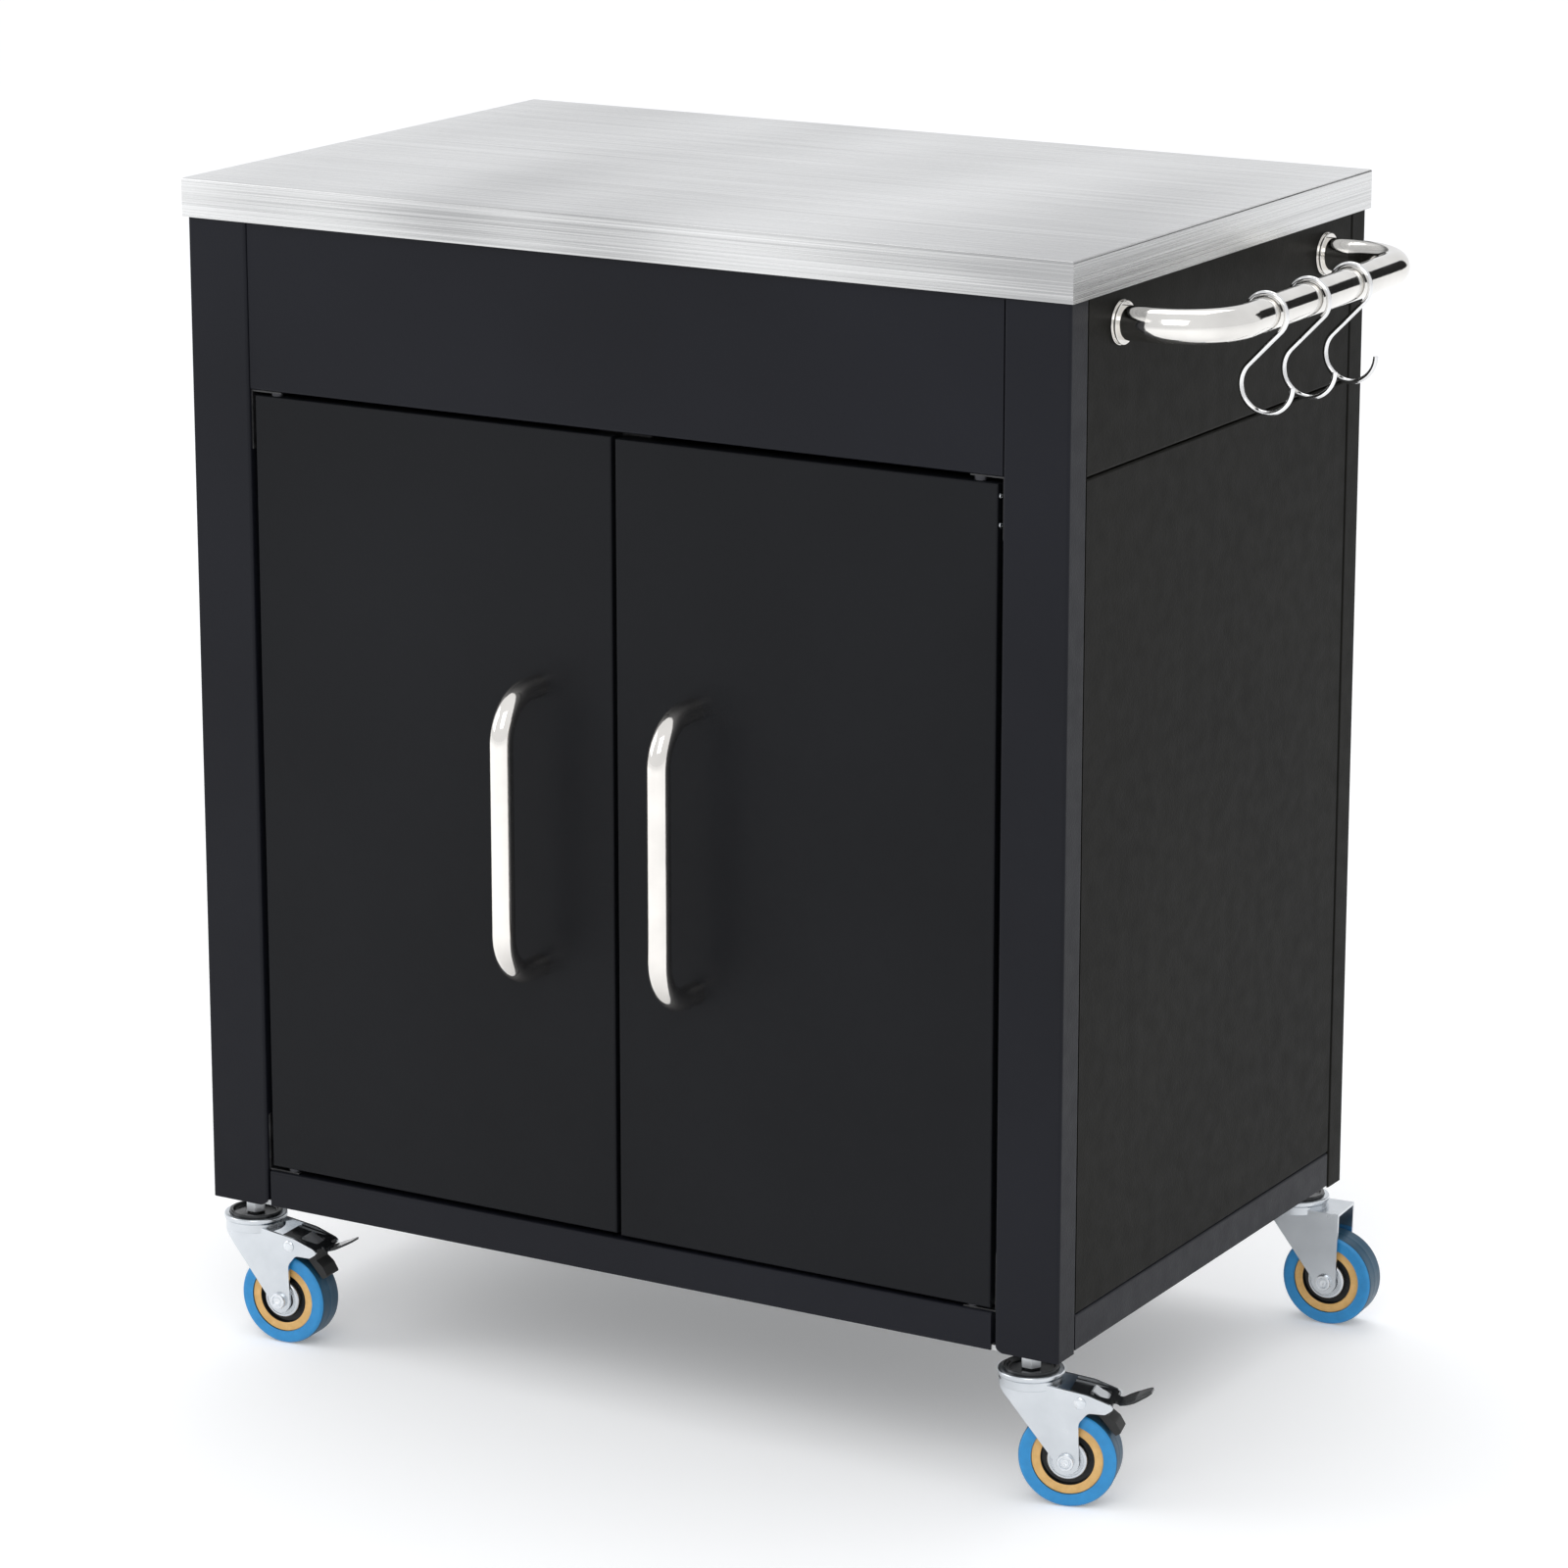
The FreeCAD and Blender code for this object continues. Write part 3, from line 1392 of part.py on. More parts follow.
group("caster_caps", [caster_cap(corner) for corner in CASTERS])
for corner in CASTERS:
    braked = corner.startswith("front")
    caster_fork(corner, braked)
    caster_axle(corner)
    wheel_core(corner)
    tyre(corner)
    dust_covers(corner)
    if braked:
        brake_lever(corner)
        brake_pin(corner)
        brake_shoe(corner)

doc.recompute()
for thing in doc.Objects:
    if any(word in str(thing.State) for word in ("Invalid", "Error")):
        raise RuntimeError(f"{thing.Label} failed: {thing.State}")
for node in nodes:
    if node.Shape.isNull() or not node.Shape.isValid():
        raise RuntimeError("the shape of " + node.Label + " is not valid")
for node in nodes:
    node.Shape.exportStep(f"parts/{node.Label}.step")
print(len(nodes), "sub-parts written")
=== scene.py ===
import json
import math

import bmesh
import bpy
import numpy as np
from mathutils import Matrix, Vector


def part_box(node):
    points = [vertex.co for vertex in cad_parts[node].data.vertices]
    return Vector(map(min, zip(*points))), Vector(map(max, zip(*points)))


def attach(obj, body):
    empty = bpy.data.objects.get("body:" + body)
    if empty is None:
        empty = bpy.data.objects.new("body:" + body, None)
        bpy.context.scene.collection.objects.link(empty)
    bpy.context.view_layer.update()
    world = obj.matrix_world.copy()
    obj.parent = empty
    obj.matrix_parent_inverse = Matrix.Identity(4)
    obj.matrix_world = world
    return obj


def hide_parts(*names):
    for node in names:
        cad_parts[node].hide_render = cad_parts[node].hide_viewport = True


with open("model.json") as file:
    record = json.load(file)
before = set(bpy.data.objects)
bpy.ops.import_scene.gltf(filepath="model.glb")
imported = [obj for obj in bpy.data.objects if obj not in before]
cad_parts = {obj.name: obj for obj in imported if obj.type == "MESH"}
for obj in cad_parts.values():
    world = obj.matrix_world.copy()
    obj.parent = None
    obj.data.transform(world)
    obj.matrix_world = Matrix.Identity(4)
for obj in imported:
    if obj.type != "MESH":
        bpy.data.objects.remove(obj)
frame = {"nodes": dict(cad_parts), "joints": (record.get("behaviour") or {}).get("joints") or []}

nodes = frame["nodes"]
joints = {joint["name"]: joint for joint in frame["joints"]}
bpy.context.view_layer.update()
scene = bpy.context.scene

# Camera -----------------------------------------------------------------------------------
# It stands to the right of the doors and looks down at the worktop with a long lens. The
# photograph's upright edges were straightened, so they meet a little more here.
looks_down, turned_left = 14.794, 30.312  # degrees
camera_data = bpy.data.cameras.new("camera")
camera_data.sensor_width = 36
camera_data.lens = 131.8
camera_data.clip_end = 100
camera = bpy.data.objects.new("camera", camera_data)
camera.location = (2.1599, -3.7449, 1.6029)
camera.rotation_euler = (math.radians(90 - looks_down), 0, math.radians(turned_left))
scene.collection.objects.link(camera)
scene.camera = camera
scene.view_settings.view_transform = "Standard"


# Floor and studio -------------------------------------------------------------------------
# A plain pale floor that runs on to the horizon under a soft white room with three large
# soft lights. A dark flag behind to the right draws the black line along the polished bar.
def finish(name, tone, metallic, roughness):
    """A new material of one linear tone, and its main shader for further work."""
    made = bpy.data.materials.new(name)
    made.use_nodes = True
    shader = made.node_tree.nodes["Principled BSDF"]
    shader.inputs["Base Color"].default_value = (*tone, 1)
    shader.inputs["Metallic"].default_value = metallic
    shader.inputs["Roughness"].default_value = roughness
    return made, shader


def flat_face(name, corners, coat):
    """One flat face through the corners."""
    mesh = bpy.data.meshes.new(name)
    mesh.from_pydata(corners, [], [list(range(len(corners)))])
    mesh.materials.append(coat)
    made = bpy.data.objects.new(name, mesh)
    scene.collection.objects.link(made)
    return made


# The floor's rim: points at even angles on a circle.
floor_radius, floor_corners = 30, 96
turn = np.linspace(0, 2 * np.pi, floor_corners, endpoint=False)
rim = np.stack([floor_radius * np.cos(turn), floor_radius * np.sin(turn), 0 * turn], 1)
floor_paint, shader = finish("floor_paint", (0.9, 0.9, 0.9), 0, 0.8)
shader.inputs["Emission Color"].default_value = (0.98, 0.99, 1, 1)
shader.inputs["Emission Strength"].default_value = 0.2
floor = flat_face("floor", rim.tolist(), floor_paint)

room = bpy.data.worlds.new("room")
room.use_nodes = True
air = room.node_tree.nodes["Background"]
air.inputs["Color"].default_value = (0.97, 0.98, 1, 1)
air.inputs["Strength"].default_value = 0.92
scene.world = room

near, far, foot, head = (0.75, 2.6), (1.85, 1.95), 0.9, 1.9
flag_cloth, _ = finish("flag_cloth", (0.004, 0.004, 0.004), 0, 1)
flag = flat_face(
    "flag", [(*near, foot), (*far, foot), (*far, head), (*near, head)], flag_cloth
)
flag.visible_camera = False
flag.visible_diffuse = False
flag.visible_shadow = False


def soft_light(name, place, aim, size, power):
    """A square soft light at place, facing aim."""
    lamp = bpy.data.lights.new(name, "AREA")
    lamp.size = size
    lamp.energy = power
    made = bpy.data.objects.new(name, lamp)
    made.location = place
    made.rotation_euler = (Vector(aim) - Vector(place)).to_track_quat("-Z", "Y").to_euler()
    scene.collection.objects.link(made)


soft_light("front_light", (1.2, -3.6, 3.4), (0, 0, 0.5), 2.4, 40)
soft_light("left_light", (-3.4, -1.8, 2.2), (0, 0, 0.5), 2.0, 25)
soft_light("top_light", (-0.4, 1.3, 4.0), (0, 0, 0.7), 2.2, 26)


# Powder-coated cabinet --------------------------------------------------------------------
# Folded steel sheet with a black powder coat: posts, header, side and back panels, tray,
# shelf with its rails, and the two pan doors. The coat has a fine orange-peel skin.
def placed(shader, scale=(1, 1, 1), turn=(0, 0, 0)):
    """Object coordinates, stretched and turned, for the shader's material."""
    tree = shader.id_data
    spot = tree.nodes.new("ShaderNodeTexCoord")
    mapping = tree.nodes.new("ShaderNodeMapping")
    mapping.inputs["Scale"].default_value = scale
    mapping.inputs["Rotation"].default_value = turn
    tree.links.new(spot.outputs["Object"], mapping.inputs["Vector"])
    return mapping.outputs["Vector"]


def noise(shader, scale, detail, rough=0.5, spots=None):
    """Soft noise of this scale on the spots given, or on plain Object coordinates."""
    tree = shader.id_data
    made = tree.nodes.new("ShaderNodeTexNoise")
    made.inputs["Scale"].default_value = scale
    made.inputs["Detail"].default_value = detail
    made.inputs["Roughness"].default_value = rough
    tree.links.new(placed(shader) if spots is None else spots, made.inputs["Vector"])
    return made.outputs["Fac"]


def tint(shader, value, *stops):
    """Base colour along the value: each stop is a place from 0 to 1 and a linear colour."""
    tree = shader.id_data
    ramp = tree.nodes.new("ShaderNodeValToRGB")
    ends = ramp.color_ramp.elements
    while len(ends) < len(stops):
        ends.new(0.5)
    for end, (place, tone) in zip(ends, stops):
        end.position = place
        end.color = (*tone, 1)
    tree.links.new(value, ramp.inputs["Fac"])
    tree.links.new(ramp.outputs["Color"], shader.inputs["Base Color"])


def gloss(shader, value, low, high):
    """Roughness that goes from low to high as the noise value goes from 0.3 to 0.7."""
    tree = shader.id_data
    spread = tree.nodes.new("ShaderNodeMapRange")
    spread.inputs["From Min"].default_value = 0.3
    spread.inputs["From Max"].default_value = 0.7
    spread.inputs["To Min"].default_value = low
    spread.inputs["To Max"].default_value = high
    tree.links.new(value, spread.inputs["Value"])
    tree.links.new(spread.outputs["Result"], shader.inputs["Roughness"])


def relief(shader, height, distance, strength):
    """Bump of the height; a second call is added to the first."""
    tree = shader.id_data
    bump = tree.nodes.new("ShaderNodeBump")
    bump.inputs["Strength"].default_value = strength
    bump.inputs["Distance"].default_value = distance
    tree.links.new(height, bump.inputs["Height"])
    if shader.inputs["Normal"].is_linked:
        before = shader.inputs["Normal"].links[0].from_socket
        tree.links.new(before, bump.inputs["Normal"])
    tree.links.new(bump.outputs["Normal"], shader.inputs["Normal"])


def powder_coat(name, tone, shine):
    """Black powder coat: slight cloudiness, orange peel, and a faint wave in the sheet."""
    made, shader = finish(name, tone, 0, 0.42)
    shader.inputs["Specular IOR Level"].default_value = shine
    dark = tuple(0.85 * c for c in tone)
    light = tuple(1.18 * c for c in tone)
    clouds = noise(shader, 1.0, 3, spots=placed(shader, (3, 3, 3)))
    tint(shader, clouds, (0.35, dark), (0.65, light))
    gloss(shader, noise(shader, 60, 3), 0.39, 0.47)
    relief(shader, noise(shader, 520, 2), 0.00035, 0.35)
    relief(shader, noise(shader, 5, 1), 0.002, 0.35)
    return made


def dress(coat, *names):
    """Give every material slot of these CAD nodes the coat."""
    for name in names:
        for slot in nodes[name].material_slots:
            slot.material = coat


# One black coat in three copies whose tone and shine differ only as painted light and shade: the
# front, the doors and the sides each match the light on those faces.
front_painted_light_coat = powder_coat("powder_coat_front_painted_light", (0.0072, 0.0078, 0.0112), 0.15)
door_painted_light_coat = powder_coat("powder_coat_doors_painted_light", (0.0055, 0.0060, 0.0075), 0.14)
side_painted_light_coat = powder_coat("powder_coat_sides_painted_light", (0.0070, 0.0068, 0.0056), 0.045)
dress(front_painted_light_coat, "header_panel", "front_left_post", "front_right_post", "base_tray")
dress(
    door_painted_light_coat, "left_door", "right_door", "rear_left_post", "left_upper_panel",
    "left_lower_panel", "back_panel", "shelf", "shelf_rails",
)
dress(side_painted_light_coat, "rear_right_post", "right_upper_panel", "right_lower_panel")


# Worktop ----------------------------------------------------------------------------------
# One stainless sheet, brushed along its length and folded down on all sides. The grain
# runs along X on the top, the front and the back, and along Y on the two ends.
def along_sheet(shader):
    """Object coordinates with the grain's axis first: X, but Y where the face looks to X."""
    tree = shader.id_data
    spot = tree.nodes.new("ShaderNodeTexCoord")
    split = tree.nodes.new("ShaderNodeSeparateXYZ")
    tree.links.new(spot.outputs["Object"], split.inputs["Vector"])
    facing = tree.nodes.new("ShaderNodeSeparateXYZ")
    tree.links.new(spot.outputs["Normal"], facing.inputs["Vector"])
    size = tree.nodes.new("ShaderNodeMath")
    size.operation = "ABSOLUTE"
    tree.links.new(facing.outputs["X"], size.inputs[0])
    on_end = tree.nodes.new("ShaderNodeMath")
    on_end.operation = "GREATER_THAN"
    on_end.inputs[1].default_value = 0.7
    tree.links.new(size.outputs[0], on_end.inputs[0])
    joined = tree.nodes.new("ShaderNodeCombineXYZ")
    for first, second in (("X", "Y"), ("Y", "X")):
        mix = tree.nodes.new("ShaderNodeMix")
        tree.links.new(on_end.outputs[0], mix.inputs["Factor"])
        tree.links.new(split.outputs[first], mix.inputs["A"])
        tree.links.new(split.outputs[second], mix.inputs["B"])
        tree.links.new(mix.outputs["Result"], joined.inputs[first])
    tree.links.new(split.outputs["Z"], joined.inputs["Z"])
    return joined.outputs["Vector"]


def brush_marks(shader, spots, lengthwise, crosswise, detail, rough=0.5):
    """Noise on the spots times one number along the grain and another across it."""
    tree = shader.id_data
    stretch = tree.nodes.new("ShaderNodeVectorMath")
    stretch.operation = "MULTIPLY"
    stretch.inputs[1].default_value = (lengthwise, crosswise, crosswise)
    tree.links.new(spots, stretch.inputs[0])
    return noise(shader, 1.0, detail, rough, stretch.outputs["Vector"])


def blend(shader, first, second, share):
    """The first value plus this share of the way to the second."""
    tree = shader.id_data
    mix = tree.nodes.new("ShaderNodeMix")
    mix.inputs["Factor"].default_value = share
    tree.links.new(first, mix.inputs["A"])
    tree.links.new(second, mix.inputs["B"])
    return mix.outputs["Result"]


brushed, shader = finish("brushed_stainless", (0.62, 0.62, 0.61), 1, 0.27)
spots = along_sheet(shader)
grain = brush_marks(shader, spots, 6, 2300, 2)
streaks = brush_marks(shader, spots, 2.6, 900, 2, 0.55)
bands = brush_marks(shader, spots, 1.1, 170, 1)
clouds = noise(shader, 1.0, 1, spots=placed(shader, (4.2, 1.3, 1), (0, 0, 0.7)))
lines = blend(shader, blend(shader, streaks, grain, 0.4), bands, 0.12)
tint(
    shader, blend(shader, lines, clouds, 0.42),
    (0.38, (0.42, 0.42, 0.42)), (0.5, (0.66, 0.66, 0.655)), (0.62, (0.84, 0.84, 0.835)),
)
gloss(shader, grain, 0.22, 0.34)
relief(shader, grain, 0.00012, 0.5)
dress(brushed, "worktop")

# Stiffeners and plates --------------------------------------------------------------------
# Galvanised sheet under the worktop and in the feet of the posts, out of sight from above.
# The zinc shows a faint spangle.
plain_zinc, shader = finish("galvanised_sheet", (0.5, 0.5, 0.5), 1, 0.45)
spangle = shader.id_data.nodes.new("ShaderNodeTexVoronoi")
spangle.inputs["Scale"].default_value = 90
shader.id_data.links.new(placed(shader), spangle.inputs["Vector"])
tint(shader, spangle.outputs["Color"], (0.0, (0.4, 0.41, 0.42)), (1.0, (0.6, 0.6, 0.6)))
gloss(shader, noise(shader, 40, 2), 0.35, 0.55)
dress(plain_zinc, "worktop_stiffeners", "corner_plates")

# Hinge brackets, pins and catch -----------------------------------------------------------
# Black folded brackets with zinc pins at the top and bottom of each door, the pins coloured dark
# as painted shade for the door gaps, and a black plastic magnet block under the header that holds
# a bright plate on each door.
black_steel, shader = finish("black_steel", (0.014, 0.014, 0.015), 0, 0.35)
scuffs = noise(shader, 70, 4, 0.65)
tint(shader, scuffs, (0.45, (0.012, 0.012, 0.013)), (0.8, (0.05, 0.05, 0.052)))
gloss(shader, scuffs, 0.28, 0.45)
relief(shader, noise(shader, 600, 2), 0.0002, 0.3)
dress(black_steel, "hinge_brackets")

bright_zinc, shader = finish("bright_zinc", (0.74, 0.77, 0.8), 1, 0.26)
haze = noise(shader, 45, 4, 0.6)
tint(shader, haze, (0.3, (0.62, 0.66, 0.7)), (0.7, (0.86, 0.88, 0.9)))
gloss(shader, haze, 0.16, 0.34)
relief(shader, noise(shader, 900, 2), 0.0001, 0.25)
dress(bright_zinc, "left_strike_plate", "right_strike_plate")

catch_plastic, shader = finish("catch_plastic", (0.02, 0.02, 0.021), 0, 0.55)
gloss(shader, noise(shader, 200, 2), 0.5, 0.62)
relief(shader, noise(shader, 1500, 2), 0.0001, 0.5)
dress(catch_plastic, "door_catch")

# Painted shade: the pins' zinc is coloured dark for the shade in the gaps round them.
pin_zinc_painted_shade, shader = finish("pin_zinc_painted_shade", (0.05, 0.05, 0.055), 1, 0.3)
gloss(shader, noise(shader, 200, 3), 0.22, 0.4)
relief(shader, noise(shader, 1500, 2), 0.0001, 0.4)
dress(pin_zinc_painted_shade, "hinge_pins")


# Side bar with its collars ----------------------------------------------------------------
# Bent stainless tube, buffed bright, held on the right side panel by two turned collars.
# Fine buffing lines and a warm tone keep it from being a perfect mirror.
def polished(name, tone, low, high, stretch, scale):
    """Buffed metal: a clouded tone, fine scratches along the stretch, uneven gloss."""
    made, shader = finish(name, tone, 1, high)
    dull = tuple(0.9 * c for c in tone)
    bright = tuple(min(1.0, 1.06 * c) for c in tone)
    tint(shader, noise(shader, 22, 3), (0.3, dull), (0.7, bright))
    scratches = noise(shader, scale, 3, spots=placed(shader, stretch))
    gloss(shader, scratches, low, high)
    relief(shader, scratches, 0.00004, 0.3)
    return made


bar_polish = polished("bar_polish", (0.80, 0.78, 0.745), 0.05, 0.13, (1, 0.06, 1), 900)
dress(bar_polish, "side_bar", "side_bar_flanges")

# S-hooks ----------------------------------------------------------------------------------
# Three hooks of bright-plated round wire, each bent to an S whose upper loop hangs over the
# side bar.
wire_plate = polished("wire_plate", (0.82, 0.82, 0.82), 0.04, 0.11, (1, 1, 1), 700)
dress(wire_plate, "front_hook", "middle_hook", "rear_hook")

# Door handles -----------------------------------------------------------------------------
# Bow handles of polished stainless tube, buffed along their length and set on the doors
# from behind with a screw in each leg.
handle_polish = polished("handle_polish", (0.84, 0.81, 0.77), 0.05, 0.12, (1, 1, 0.05), 1100)
dress(handle_polish, "left_handle", "right_handle")


# Screws -----------------------------------------------------------------------------------
# Zinc-plated pan-head screws with a cross recess: two in the hinge edge of each door, one
# behind each leg of the handles, and eight down the sides of the back panel.
def circle(axis, count):
    """Unit vector along the axis, even angles round it, and the unit vector at each angle.

    A vector at an angle is side times its cosine plus up times its sine, where side and up
    stand square to the axis.
    """
    along = np.array(axis, float)
    along /= np.linalg.norm(along)
    side = np.cross(along, (0, 0, 1) if abs(along[2]) < 0.9 else (1, 0, 0))
    side /= np.linalg.norm(side)
    angle = np.linspace(0, 2 * np.pi, count, endpoint=False)
    around = np.outer(np.cos(angle), side) + np.outer(np.sin(angle), np.cross(along, side))
    return along, angle, around


def ring_faces(rings, count, closed=False):
    """Quads between neighbouring rings of count points, and from last to first if closed."""
    first = np.arange(rings if closed else rings - 1)[:, None] * count
    after = (first + count) % (rings * count)
    here = np.arange(count)[None, :]
    beside = (here + 1) % count
    quads = np.stack([first + here, first + beside, after + beside, after + here], axis=-1)
    return quads.reshape(-1, 4)


def hang(name, mesh, body):
    """Put the mesh into the scene as a piece that rides the body."""
    made = bpy.data.objects.new(name, mesh)
    scene.collection.objects.link(made)
    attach(made, body)
    return made


def add_piece(name, points, faces, coats, body, picks=None):
    """A smooth piece with edges sharp from 35 degrees; picks gives each face's coat."""
    mesh = bpy.data.meshes.new(name)
    mesh.from_pydata(points.tolist(), [], faces.tolist())
    for coat in coats:
        mesh.materials.append(coat)
    if picks is not None:
        mesh.polygons.foreach_set("material_index", picks)
    mesh.polygons.foreach_set("use_smooth", [True] * len(mesh.polygons))
    mesh.set_sharp_from_angle(angle=math.radians(35))
    mesh.update()
    return hang(name, mesh, body)


def screw(name, place, axis, size, body):
    """A pan head of this radius in mm: rings of falling radius and rising height.

    The heights drop near the middle at the angles close to the two arms of the cross.
    """
    count = 48
    along, angle, around = circle(axis, count)
    radii = size * np.array([1, 1, 0.96, 0.86, 0.7, 0.5, 0.32, 0.16, 0.02])
    heights = size * np.array([0, 0.25, 0.36, 0.46, 0.52, 0.55, 0.56, 0.56, 0.56])
    arms = np.clip(1.25 - np.minimum(abs(np.sin(angle)), abs(np.cos(angle))) * 6, 0, 1)
    middle = np.clip((0.62 * size - radii) / (0.2 * size), 0, 1)
    rise = heights[:, None] - 0.34 * size * middle[:, None] * arms
    points = place + 0.001 * (rise[:, :, None] * along + radii[:, None, None] * around)
    faces = ring_faces(len(radii), count)
    add_piece(name, points.reshape(-1, 3), faces, [bright_zinc], body)


hinge_screw, handle_screw, back_screw = 2.1, 5.5, 4  # head radii in mm
sunk = 0.0001  # how far a head's rim stands in its sheet
behind_front, door_sheet, half_tube, from_edge = 0.0045, 0.001, 0.009, 0.009
for side, outward in (("left", -1), ("right", 1)):
    low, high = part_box(side + "_door")
    edge = (high if outward > 0 else low)[0] - outward * sunk
    for row, below_top in (("upper", 0.0095), ("lower", 0.0307)):
        place = (edge, low[1] + behind_front, high[2] - below_top)
        screw(
            f"{side}_hinge_screw_{row}", place, (outward, 0, 0), hinge_screw,
            side + "_door_leaf",
        )
    inner_face = low[1] + door_sheet
    low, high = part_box(side + "_handle")
    middle = (low[0] + high[0]) / 2
    for row, height in (("upper", high[2] - half_tube), ("lower", low[2] + half_tube)):
        screw(
            f"{side}_handle_screw_{row}", (middle, inner_face, height), (0, 1, 0),
            handle_screw, side + "_door_leaf",
        )
low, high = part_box("back_panel")
for row, share in enumerate((0.04, 0.33, 0.62, 0.91)):
    height = low[2] + share * (high[2] - low[2])
    for column, across in (("left", low[0] + from_edge), ("right", high[0] - from_edge)):
        place = (across, high[1] - sunk, height)
        screw(f"back_screw_{column}_{row}", place, (0, 1, 0), back_screw, "cabinet")


# Tray tabs and seam tapes -----------------------------------------------------------------
# The ends of the tray's front and rear folds turn back by a tab, which closes the slit beside
# each post. Black foam tape on the inside covers the joints between the panels and the posts.
def plate(name, outline, depths, axis, coat):
    """A flat plate: the outline at the first depth and again at the second, with a rim.

    The outline holds pairs on the two other axes, in their order; axis is the depth's.
    """
    count = len(outline)
    points = np.concatenate([np.insert(outline, axis, depth, axis=1) for depth in depths])
    ends = [list(range(count))[::-1], list(range(count, 2 * count))]
    mesh = bpy.data.meshes.new(name)
    mesh.from_pydata(points.tolist(), [], ring_faces(2, count).tolist() + ends)
    shape = bmesh.new()
    shape.from_mesh(mesh)
    bmesh.ops.recalc_face_normals(shape, faces=shape.faces)
    shape.to_mesh(mesh)
    shape.free()
    mesh.materials.append(coat)
    hang(name, mesh, "cabinet")


gauge, behind_sheet, from_post, clearance = 0.0012, 0.0013, 0.003, 0.0003
tab_reach, notch_deep, notch_high = 0.0187, 0.002, 0.0033
tray_low, tray_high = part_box("base_tray")
top = tray_high[2] - behind_sheet
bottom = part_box("corner_plates")[1][2] + clearance
for row, inward in (("front", 1), ("rear", -1)):
    fold = (tray_low if inward > 0 else tray_high)[1] + inward * behind_sheet
    reach = fold + inward * tab_reach
    outline = [
        (fold, top), (reach, top), (reach, bottom + notch_high),
        (reach - inward * notch_deep, bottom), (fold, bottom),
    ]
    for side, outward in (("left", -1), ("right", 1)):
        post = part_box(f"{row}_{side}_post")
        face = post[0 if outward > 0 else 1][0] - outward * from_post
        plate(
            f"tray_tab_{row}_{side}", outline, (face, face - outward * gauge), 0, front_painted_light_coat,
        )

tape, shader = finish("foam_tape", (0.009, 0.009, 0.009), 0, 0.8)
relief(shader, noise(shader, 1800, 2), 0.0002, 0.6)
tape_wide, tape_thick, past_edge, inside = 0.012, 0.0008, 0.0008, 0.001


def seam_tape(name, panel, normal, outward, reach):
    """A strip on the inside of a panel, from just past one upright edge towards the middle.

    normal is the axis that the panel faces, outward its outer side on that axis, and reach
    the strip's direction on the other level axis; both are 1 or -1.
    """
    low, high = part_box(panel)
    face = (high if outward > 0 else low)[normal] - outward * inside
    start = (low if reach > 0 else high)[1 - normal] - reach * past_edge
    end = start + reach * tape_wide
    foot, head = low[2] + inside, high[2] - inside
    outline = [(start, foot), (end, foot), (end, head), (start, head)]
    plate(name, outline, (face, face - outward * tape_thick), normal, tape)


for side, outward in (("left", -1), ("right", 1)):
    for row in ("lower", "upper"):
        for edge, reach in (("front", 1), ("rear", -1)):
            name = f"seam_tape_{side}_{row}_{edge}"
            seam_tape(name, f"{side}_{row}_panel", 0, outward, reach)
    seam_tape(f"seam_tape_{side}_back", "back_panel", 1, 1, -outward)


# Caster forks and stems -------------------------------------------------------------------
# Pressed forks with a bright zinc plate, turning under a black dished race that stays with
# the threaded stem; the stem's hex collar shows in the dish.
glossy_black, shader = finish("glossy_black", (0.008, 0.009, 0.01), 0, 0.14)
gloss(shader, noise(shader, 90, 3), 0.1, 0.24)
relief(shader, noise(shader, 260, 2), 0.0003, 0.25)
dress(glossy_black, "caster_caps")

nut_zinc, shader = finish("nut_zinc", (0.86, 0.88, 0.9), 1, 0.5)
gloss(shader, noise(shader, 60, 3), 0.42, 0.6)
relief(shader, noise(shader, 800, 2), 0.0002, 0.3)
dress(nut_zinc, "caster_stems")

fork_zinc, shader = finish("fork_zinc", (0.80, 0.83, 0.86), 1, 0.24)
haze = noise(shader, 38, 4, 0.6)
tint(shader, haze, (0.3, (0.60, 0.63, 0.66)), (0.7, (0.68, 0.71, 0.74)))
gloss(shader, haze, 0.2, 0.28)
relief(shader, noise(shader, 150, 2), 0.0001, 0.12)
dress(fork_zinc, "front_left_fork", "front_right_fork", "rear_left_fork", "rear_right_fork")

# Wheels -----------------------------------------------------------------------------------
# A cast blue elastic tyre on a moulded tan core, a ringed zinc dust cover in each side, and a
# headed hollow axle through the fork. The core's hub and web in the recess under each cover are
# coloured near black as painted shade, and the tyre's tread is painted darker as painted shade.
blue_tyre, shader = finish("blue_tyre", (0.022, 0.235, 0.52), 0, 0.34)
shader.inputs["Specular IOR Level"].default_value = 0.4
mottle = noise(shader, 120, 4, 0.6)
tint(shader, mottle, (0.3, (0.020, 0.215, 0.48)), (0.7, (0.025, 0.255, 0.56)))
gloss(shader, mottle, 0.28, 0.42)
relief(shader, noise(shader, 420, 2), 0.0003, 0.2)

# Painted shade: the tread is the tyre's own blue, coloured much darker where it turns away from
# the light.
blue_tread_painted_shade, shader = finish("blue_tread_painted_shade", (0.010, 0.06, 0.11), 0, 0.4)
shader.inputs["Specular IOR Level"].default_value = 0.4
mottle = noise(shader, 90, 4, 0.7)
tint(shader, mottle, (0.3, (0.009, 0.05, 0.09)), (0.7, (0.014, 0.07, 0.125)))
gloss(shader, mottle, 0.35, 0.5)
relief(shader, noise(shader, 420, 2), 0.0003, 0.3)

tan_core, shader = finish("tan_core", (0.66, 0.40, 0.13), 0, 0.38)
mottle = noise(shader, 150, 4, 0.6)
tint(shader, mottle, (0.3, (0.60, 0.35, 0.105)), (0.7, (0.72, 0.44, 0.16)))
gloss(shader, mottle, 0.3, 0.45)
relief(shader, noise(shader, 500, 2), 0.0002, 0.2)

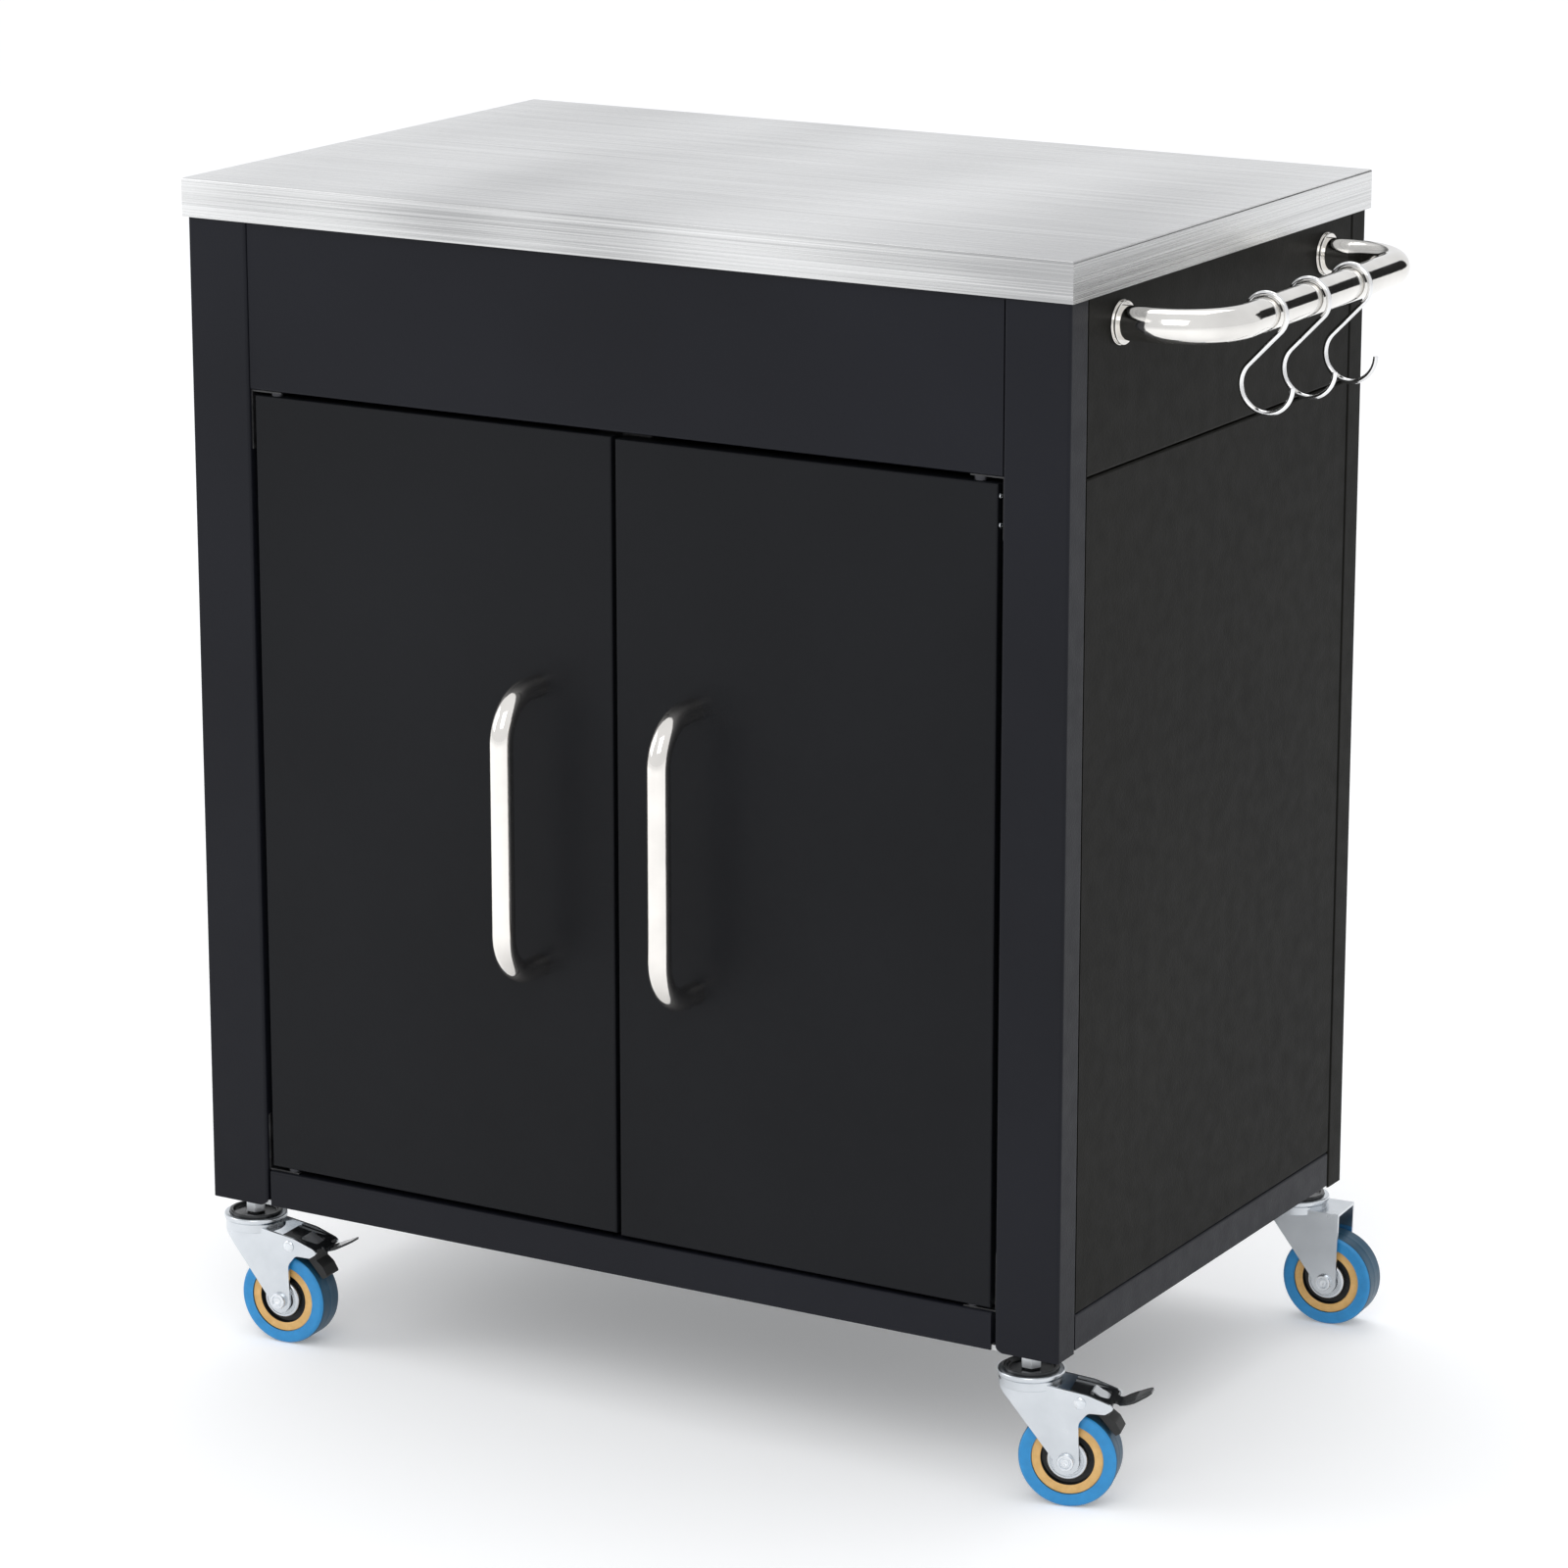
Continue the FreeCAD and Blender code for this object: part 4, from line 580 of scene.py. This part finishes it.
# Painted shade: the core's recessed hub and web under the dust covers are coloured near black for
# the shade there.
core_recess_painted_shade, shader = finish("core_recess_painted_shade", (0.006, 0.006, 0.006), 0, 0.5)
relief(shader, noise(shader, 700, 2), 0.0002, 0.3)


def turned(name, centre, axis, profile, coats, body, steps=None, count=128, closed=False):
    """A profile of (along the axis, out from it) in mm, turned about the axis.

    Each ring stands at the centre plus the axis times the first number, plus the unit vector
    at each angle times the second. Steps gives the coat of each step along the profile.
    """
    along, _, around = circle(axis, count)
    shape = np.array(profile, float) * 0.001
    points = np.array(centre) + shape[:, 0, None, None] * along + shape[:, 1, None, None] * around
    faces = ring_faces(len(shape), count, closed)
    picks = None if steps is None else np.repeat(np.array(steps, dtype=np.int32), count)
    return add_piece(name, points.reshape(-1, 3), faces, coats, body, picks)


def mirrored(half):
    """A profile for one side of the wheel, from the middle outward, given to both sides."""
    return [(-a, r) for a, r in reversed(half)] + half


# Half profiles from the wheel's middle outward, with the coat of each step. A circle of
# 3.2 mm rounds the tyre's shoulder.
turn = np.radians(np.linspace(90, 0, 10))
shoulder = list(zip(10.05 + 3.2 * np.cos(turn), 34.3 + 3.2 * np.sin(turn)))
half_tyre = [(0, 37.5), (0.3, 37.44), (5, 37.44)] + shoulder + [
    (13.25, 30), (13.1, 29.2), (13.1, 28.2), (13.25, 27.9), (13.25, 27.5), (12.7, 27.32),
]
# The tread's steps take the darker blue of painted shade.
tread, wall = [1] * 6, [0] * 12
tyre_steps = wall + tread + [1] + tread + wall
half_core = [
    (11, 27.3), (11.7, 27.3), (12, 27.0), (12, 26.6), (11.85, 26.3), (11.85, 22.4),
    (12, 22.0), (12, 21.0), (11.7, 20.5), (11.2, 20.3), (9, 20.3), (6.9, 20.2),
    (6.5, 19.6), (6.5, 10.2), (14.5, 10.15), (14.7, 9.9), (14.7, 4.1),
]
# Steps of the recessed hub and web in painted shade, and steps of the tan core.
core, recess_shade = [0] * 8, [1] * 8
core_steps = recess_shade + core + [0] + core + recess_shade + [1]
cover_rings = [
    (6.5, 15.3), (6.5, 16.5), (8.4, 16.35), (12.6, 15.4), (13.7, 14.9), (14.2, 14.2),
    (14.3, 13.6), (14.3, 13.1), (13.9, 12.8), (13.9, 12.4), (14.25, 12.1), (14.25, 11.6),
    (13.95, 11.4), (13.95, 11.1), (14.3, 10.8), (14.3, 10.3), (13.2, 10.2), (13.2, 12.2),
]
half_axle = [
    (0, 4), (18, 4), (18, 6.3), (18.2, 6.5), (20.4, 6.5), (21.2, 6.1), (21.5, 5.4),
    (21.4, 4.6), (20.6, 4.2), (20.2, 3.8), (20.2, 3.3), (20.5, 3.0), (21.1, 2.8),
    (21.35, 2.3), (21.3, 1.6), (20.8, 1.1), (20.7, 0.02),
]
for corner in ("front_left", "front_right", "rear_left", "rear_right"):
    spin = joints[corner + "_wheel_spin"]
    centre, axis, wheel = spin["pos_m"], spin["axis"], corner + "_wheel"
    piece = turned(
        corner + "_blue_tyre", centre, axis, mirrored(half_tyre), [blue_tyre, blue_tread_painted_shade],
        wheel, tyre_steps, count=192,
    )
    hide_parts(corner + "_tyre")
    piece = turned(
        corner + "_tan_core", centre, axis, mirrored(half_core), [tan_core, core_recess_painted_shade],
        wheel, core_steps, closed=True,
    )
    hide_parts(corner + "_wheel_core")
    far_side = cover_rings
    near_side = [(-a, r) for a, r in reversed(cover_rings)]
    for end, rings in (("near", near_side), ("far", far_side)):
        piece = turned(
            f"{corner}_dust_cover_{end}", centre, axis, rings, [fork_zinc], wheel,
            closed=True,
        )
        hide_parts(corner + "_dust_covers")
    piece = turned(
        corner + "_hollow_axle", centre, axis, mirrored(half_axle), [bright_zinc],
        corner + "_caster", count=96,
    )
    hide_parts(corner + "_axle")

# Foot brakes ------------------------------------------------------------------------------
# On the front casters only: a black pressed pedal between the legs, a bright spring tongue
# in its window, a domed rivet through the legs, and a rubber shoe over the tyre.
shoe_rubber, shader = finish("shoe_rubber", (0.012, 0.012, 0.012), 0, 0.6)
relief(shader, noise(shader, 600, 2), 0.0003, 0.3)
half_rivet = [
    (0, 3.4), (18, 3.4), (18, 4.5), (18.2, 4.6), (18.6, 4.5), (19.1, 3.9), (19.45, 2.8),
    (19.6, 1.4), (19.6, 0.02),
]

# The tongue rises to a crest and falls away. Pairs in mm, ahead of the rivet and above it,
# give its upper face; its thickness leads from there to the lower face.
upper = np.array([
    (4.8, -3.0), (5.0, 2.6), (5.8, 5.0), (7.4, 6.2), (9.2, 5.4), (12.4, 3.2), (15.6, 1.9),
    (19.0, -0.6),
])
thick = np.array([
    (0.8, 0.0), (0.8, 0.0), (0.5, -0.6), (-0.1, -0.8), (-0.4, -0.7), (-0.4, -0.7),
    (-0.4, -0.7), (-0.4, -0.7),
])
tongue_outline = np.concatenate([upper, (upper + thick)[::-1]]) * 0.001
tongue_half_width = 0.0070
for corner in ("front_left", "front_right"):
    dress(glossy_black, corner + "_brake_lever")
    dress(shoe_rubber, corner + "_brake_shoe")
    press = joints[corner + "_brake_press"]
    centre, axis = np.array(press["pos_m"]), press["axis"]
    piece = turned(
        corner + "_brake_rivet", centre, axis, mirrored(half_rivet), [bright_zinc],
        corner + "_caster", count=64,
    )
    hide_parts(corner + "_brake_pin")
    ahead = np.array((axis[1], -axis[0], 0)) * (-1 if axis[1] < 0 else 1)
    across = np.array((axis[0], axis[1], 0)) * tongue_half_width
    middle = centre + tongue_outline[:, :1] * ahead + tongue_outline[:, 1:] * (0, 0, 1)
    points = np.concatenate([middle - across, middle + across])
    faces = ring_faces(2, len(middle))
    add_piece(
        corner + "_brake_tongue", points, faces, [nut_zinc], corner + "_brake"
    )
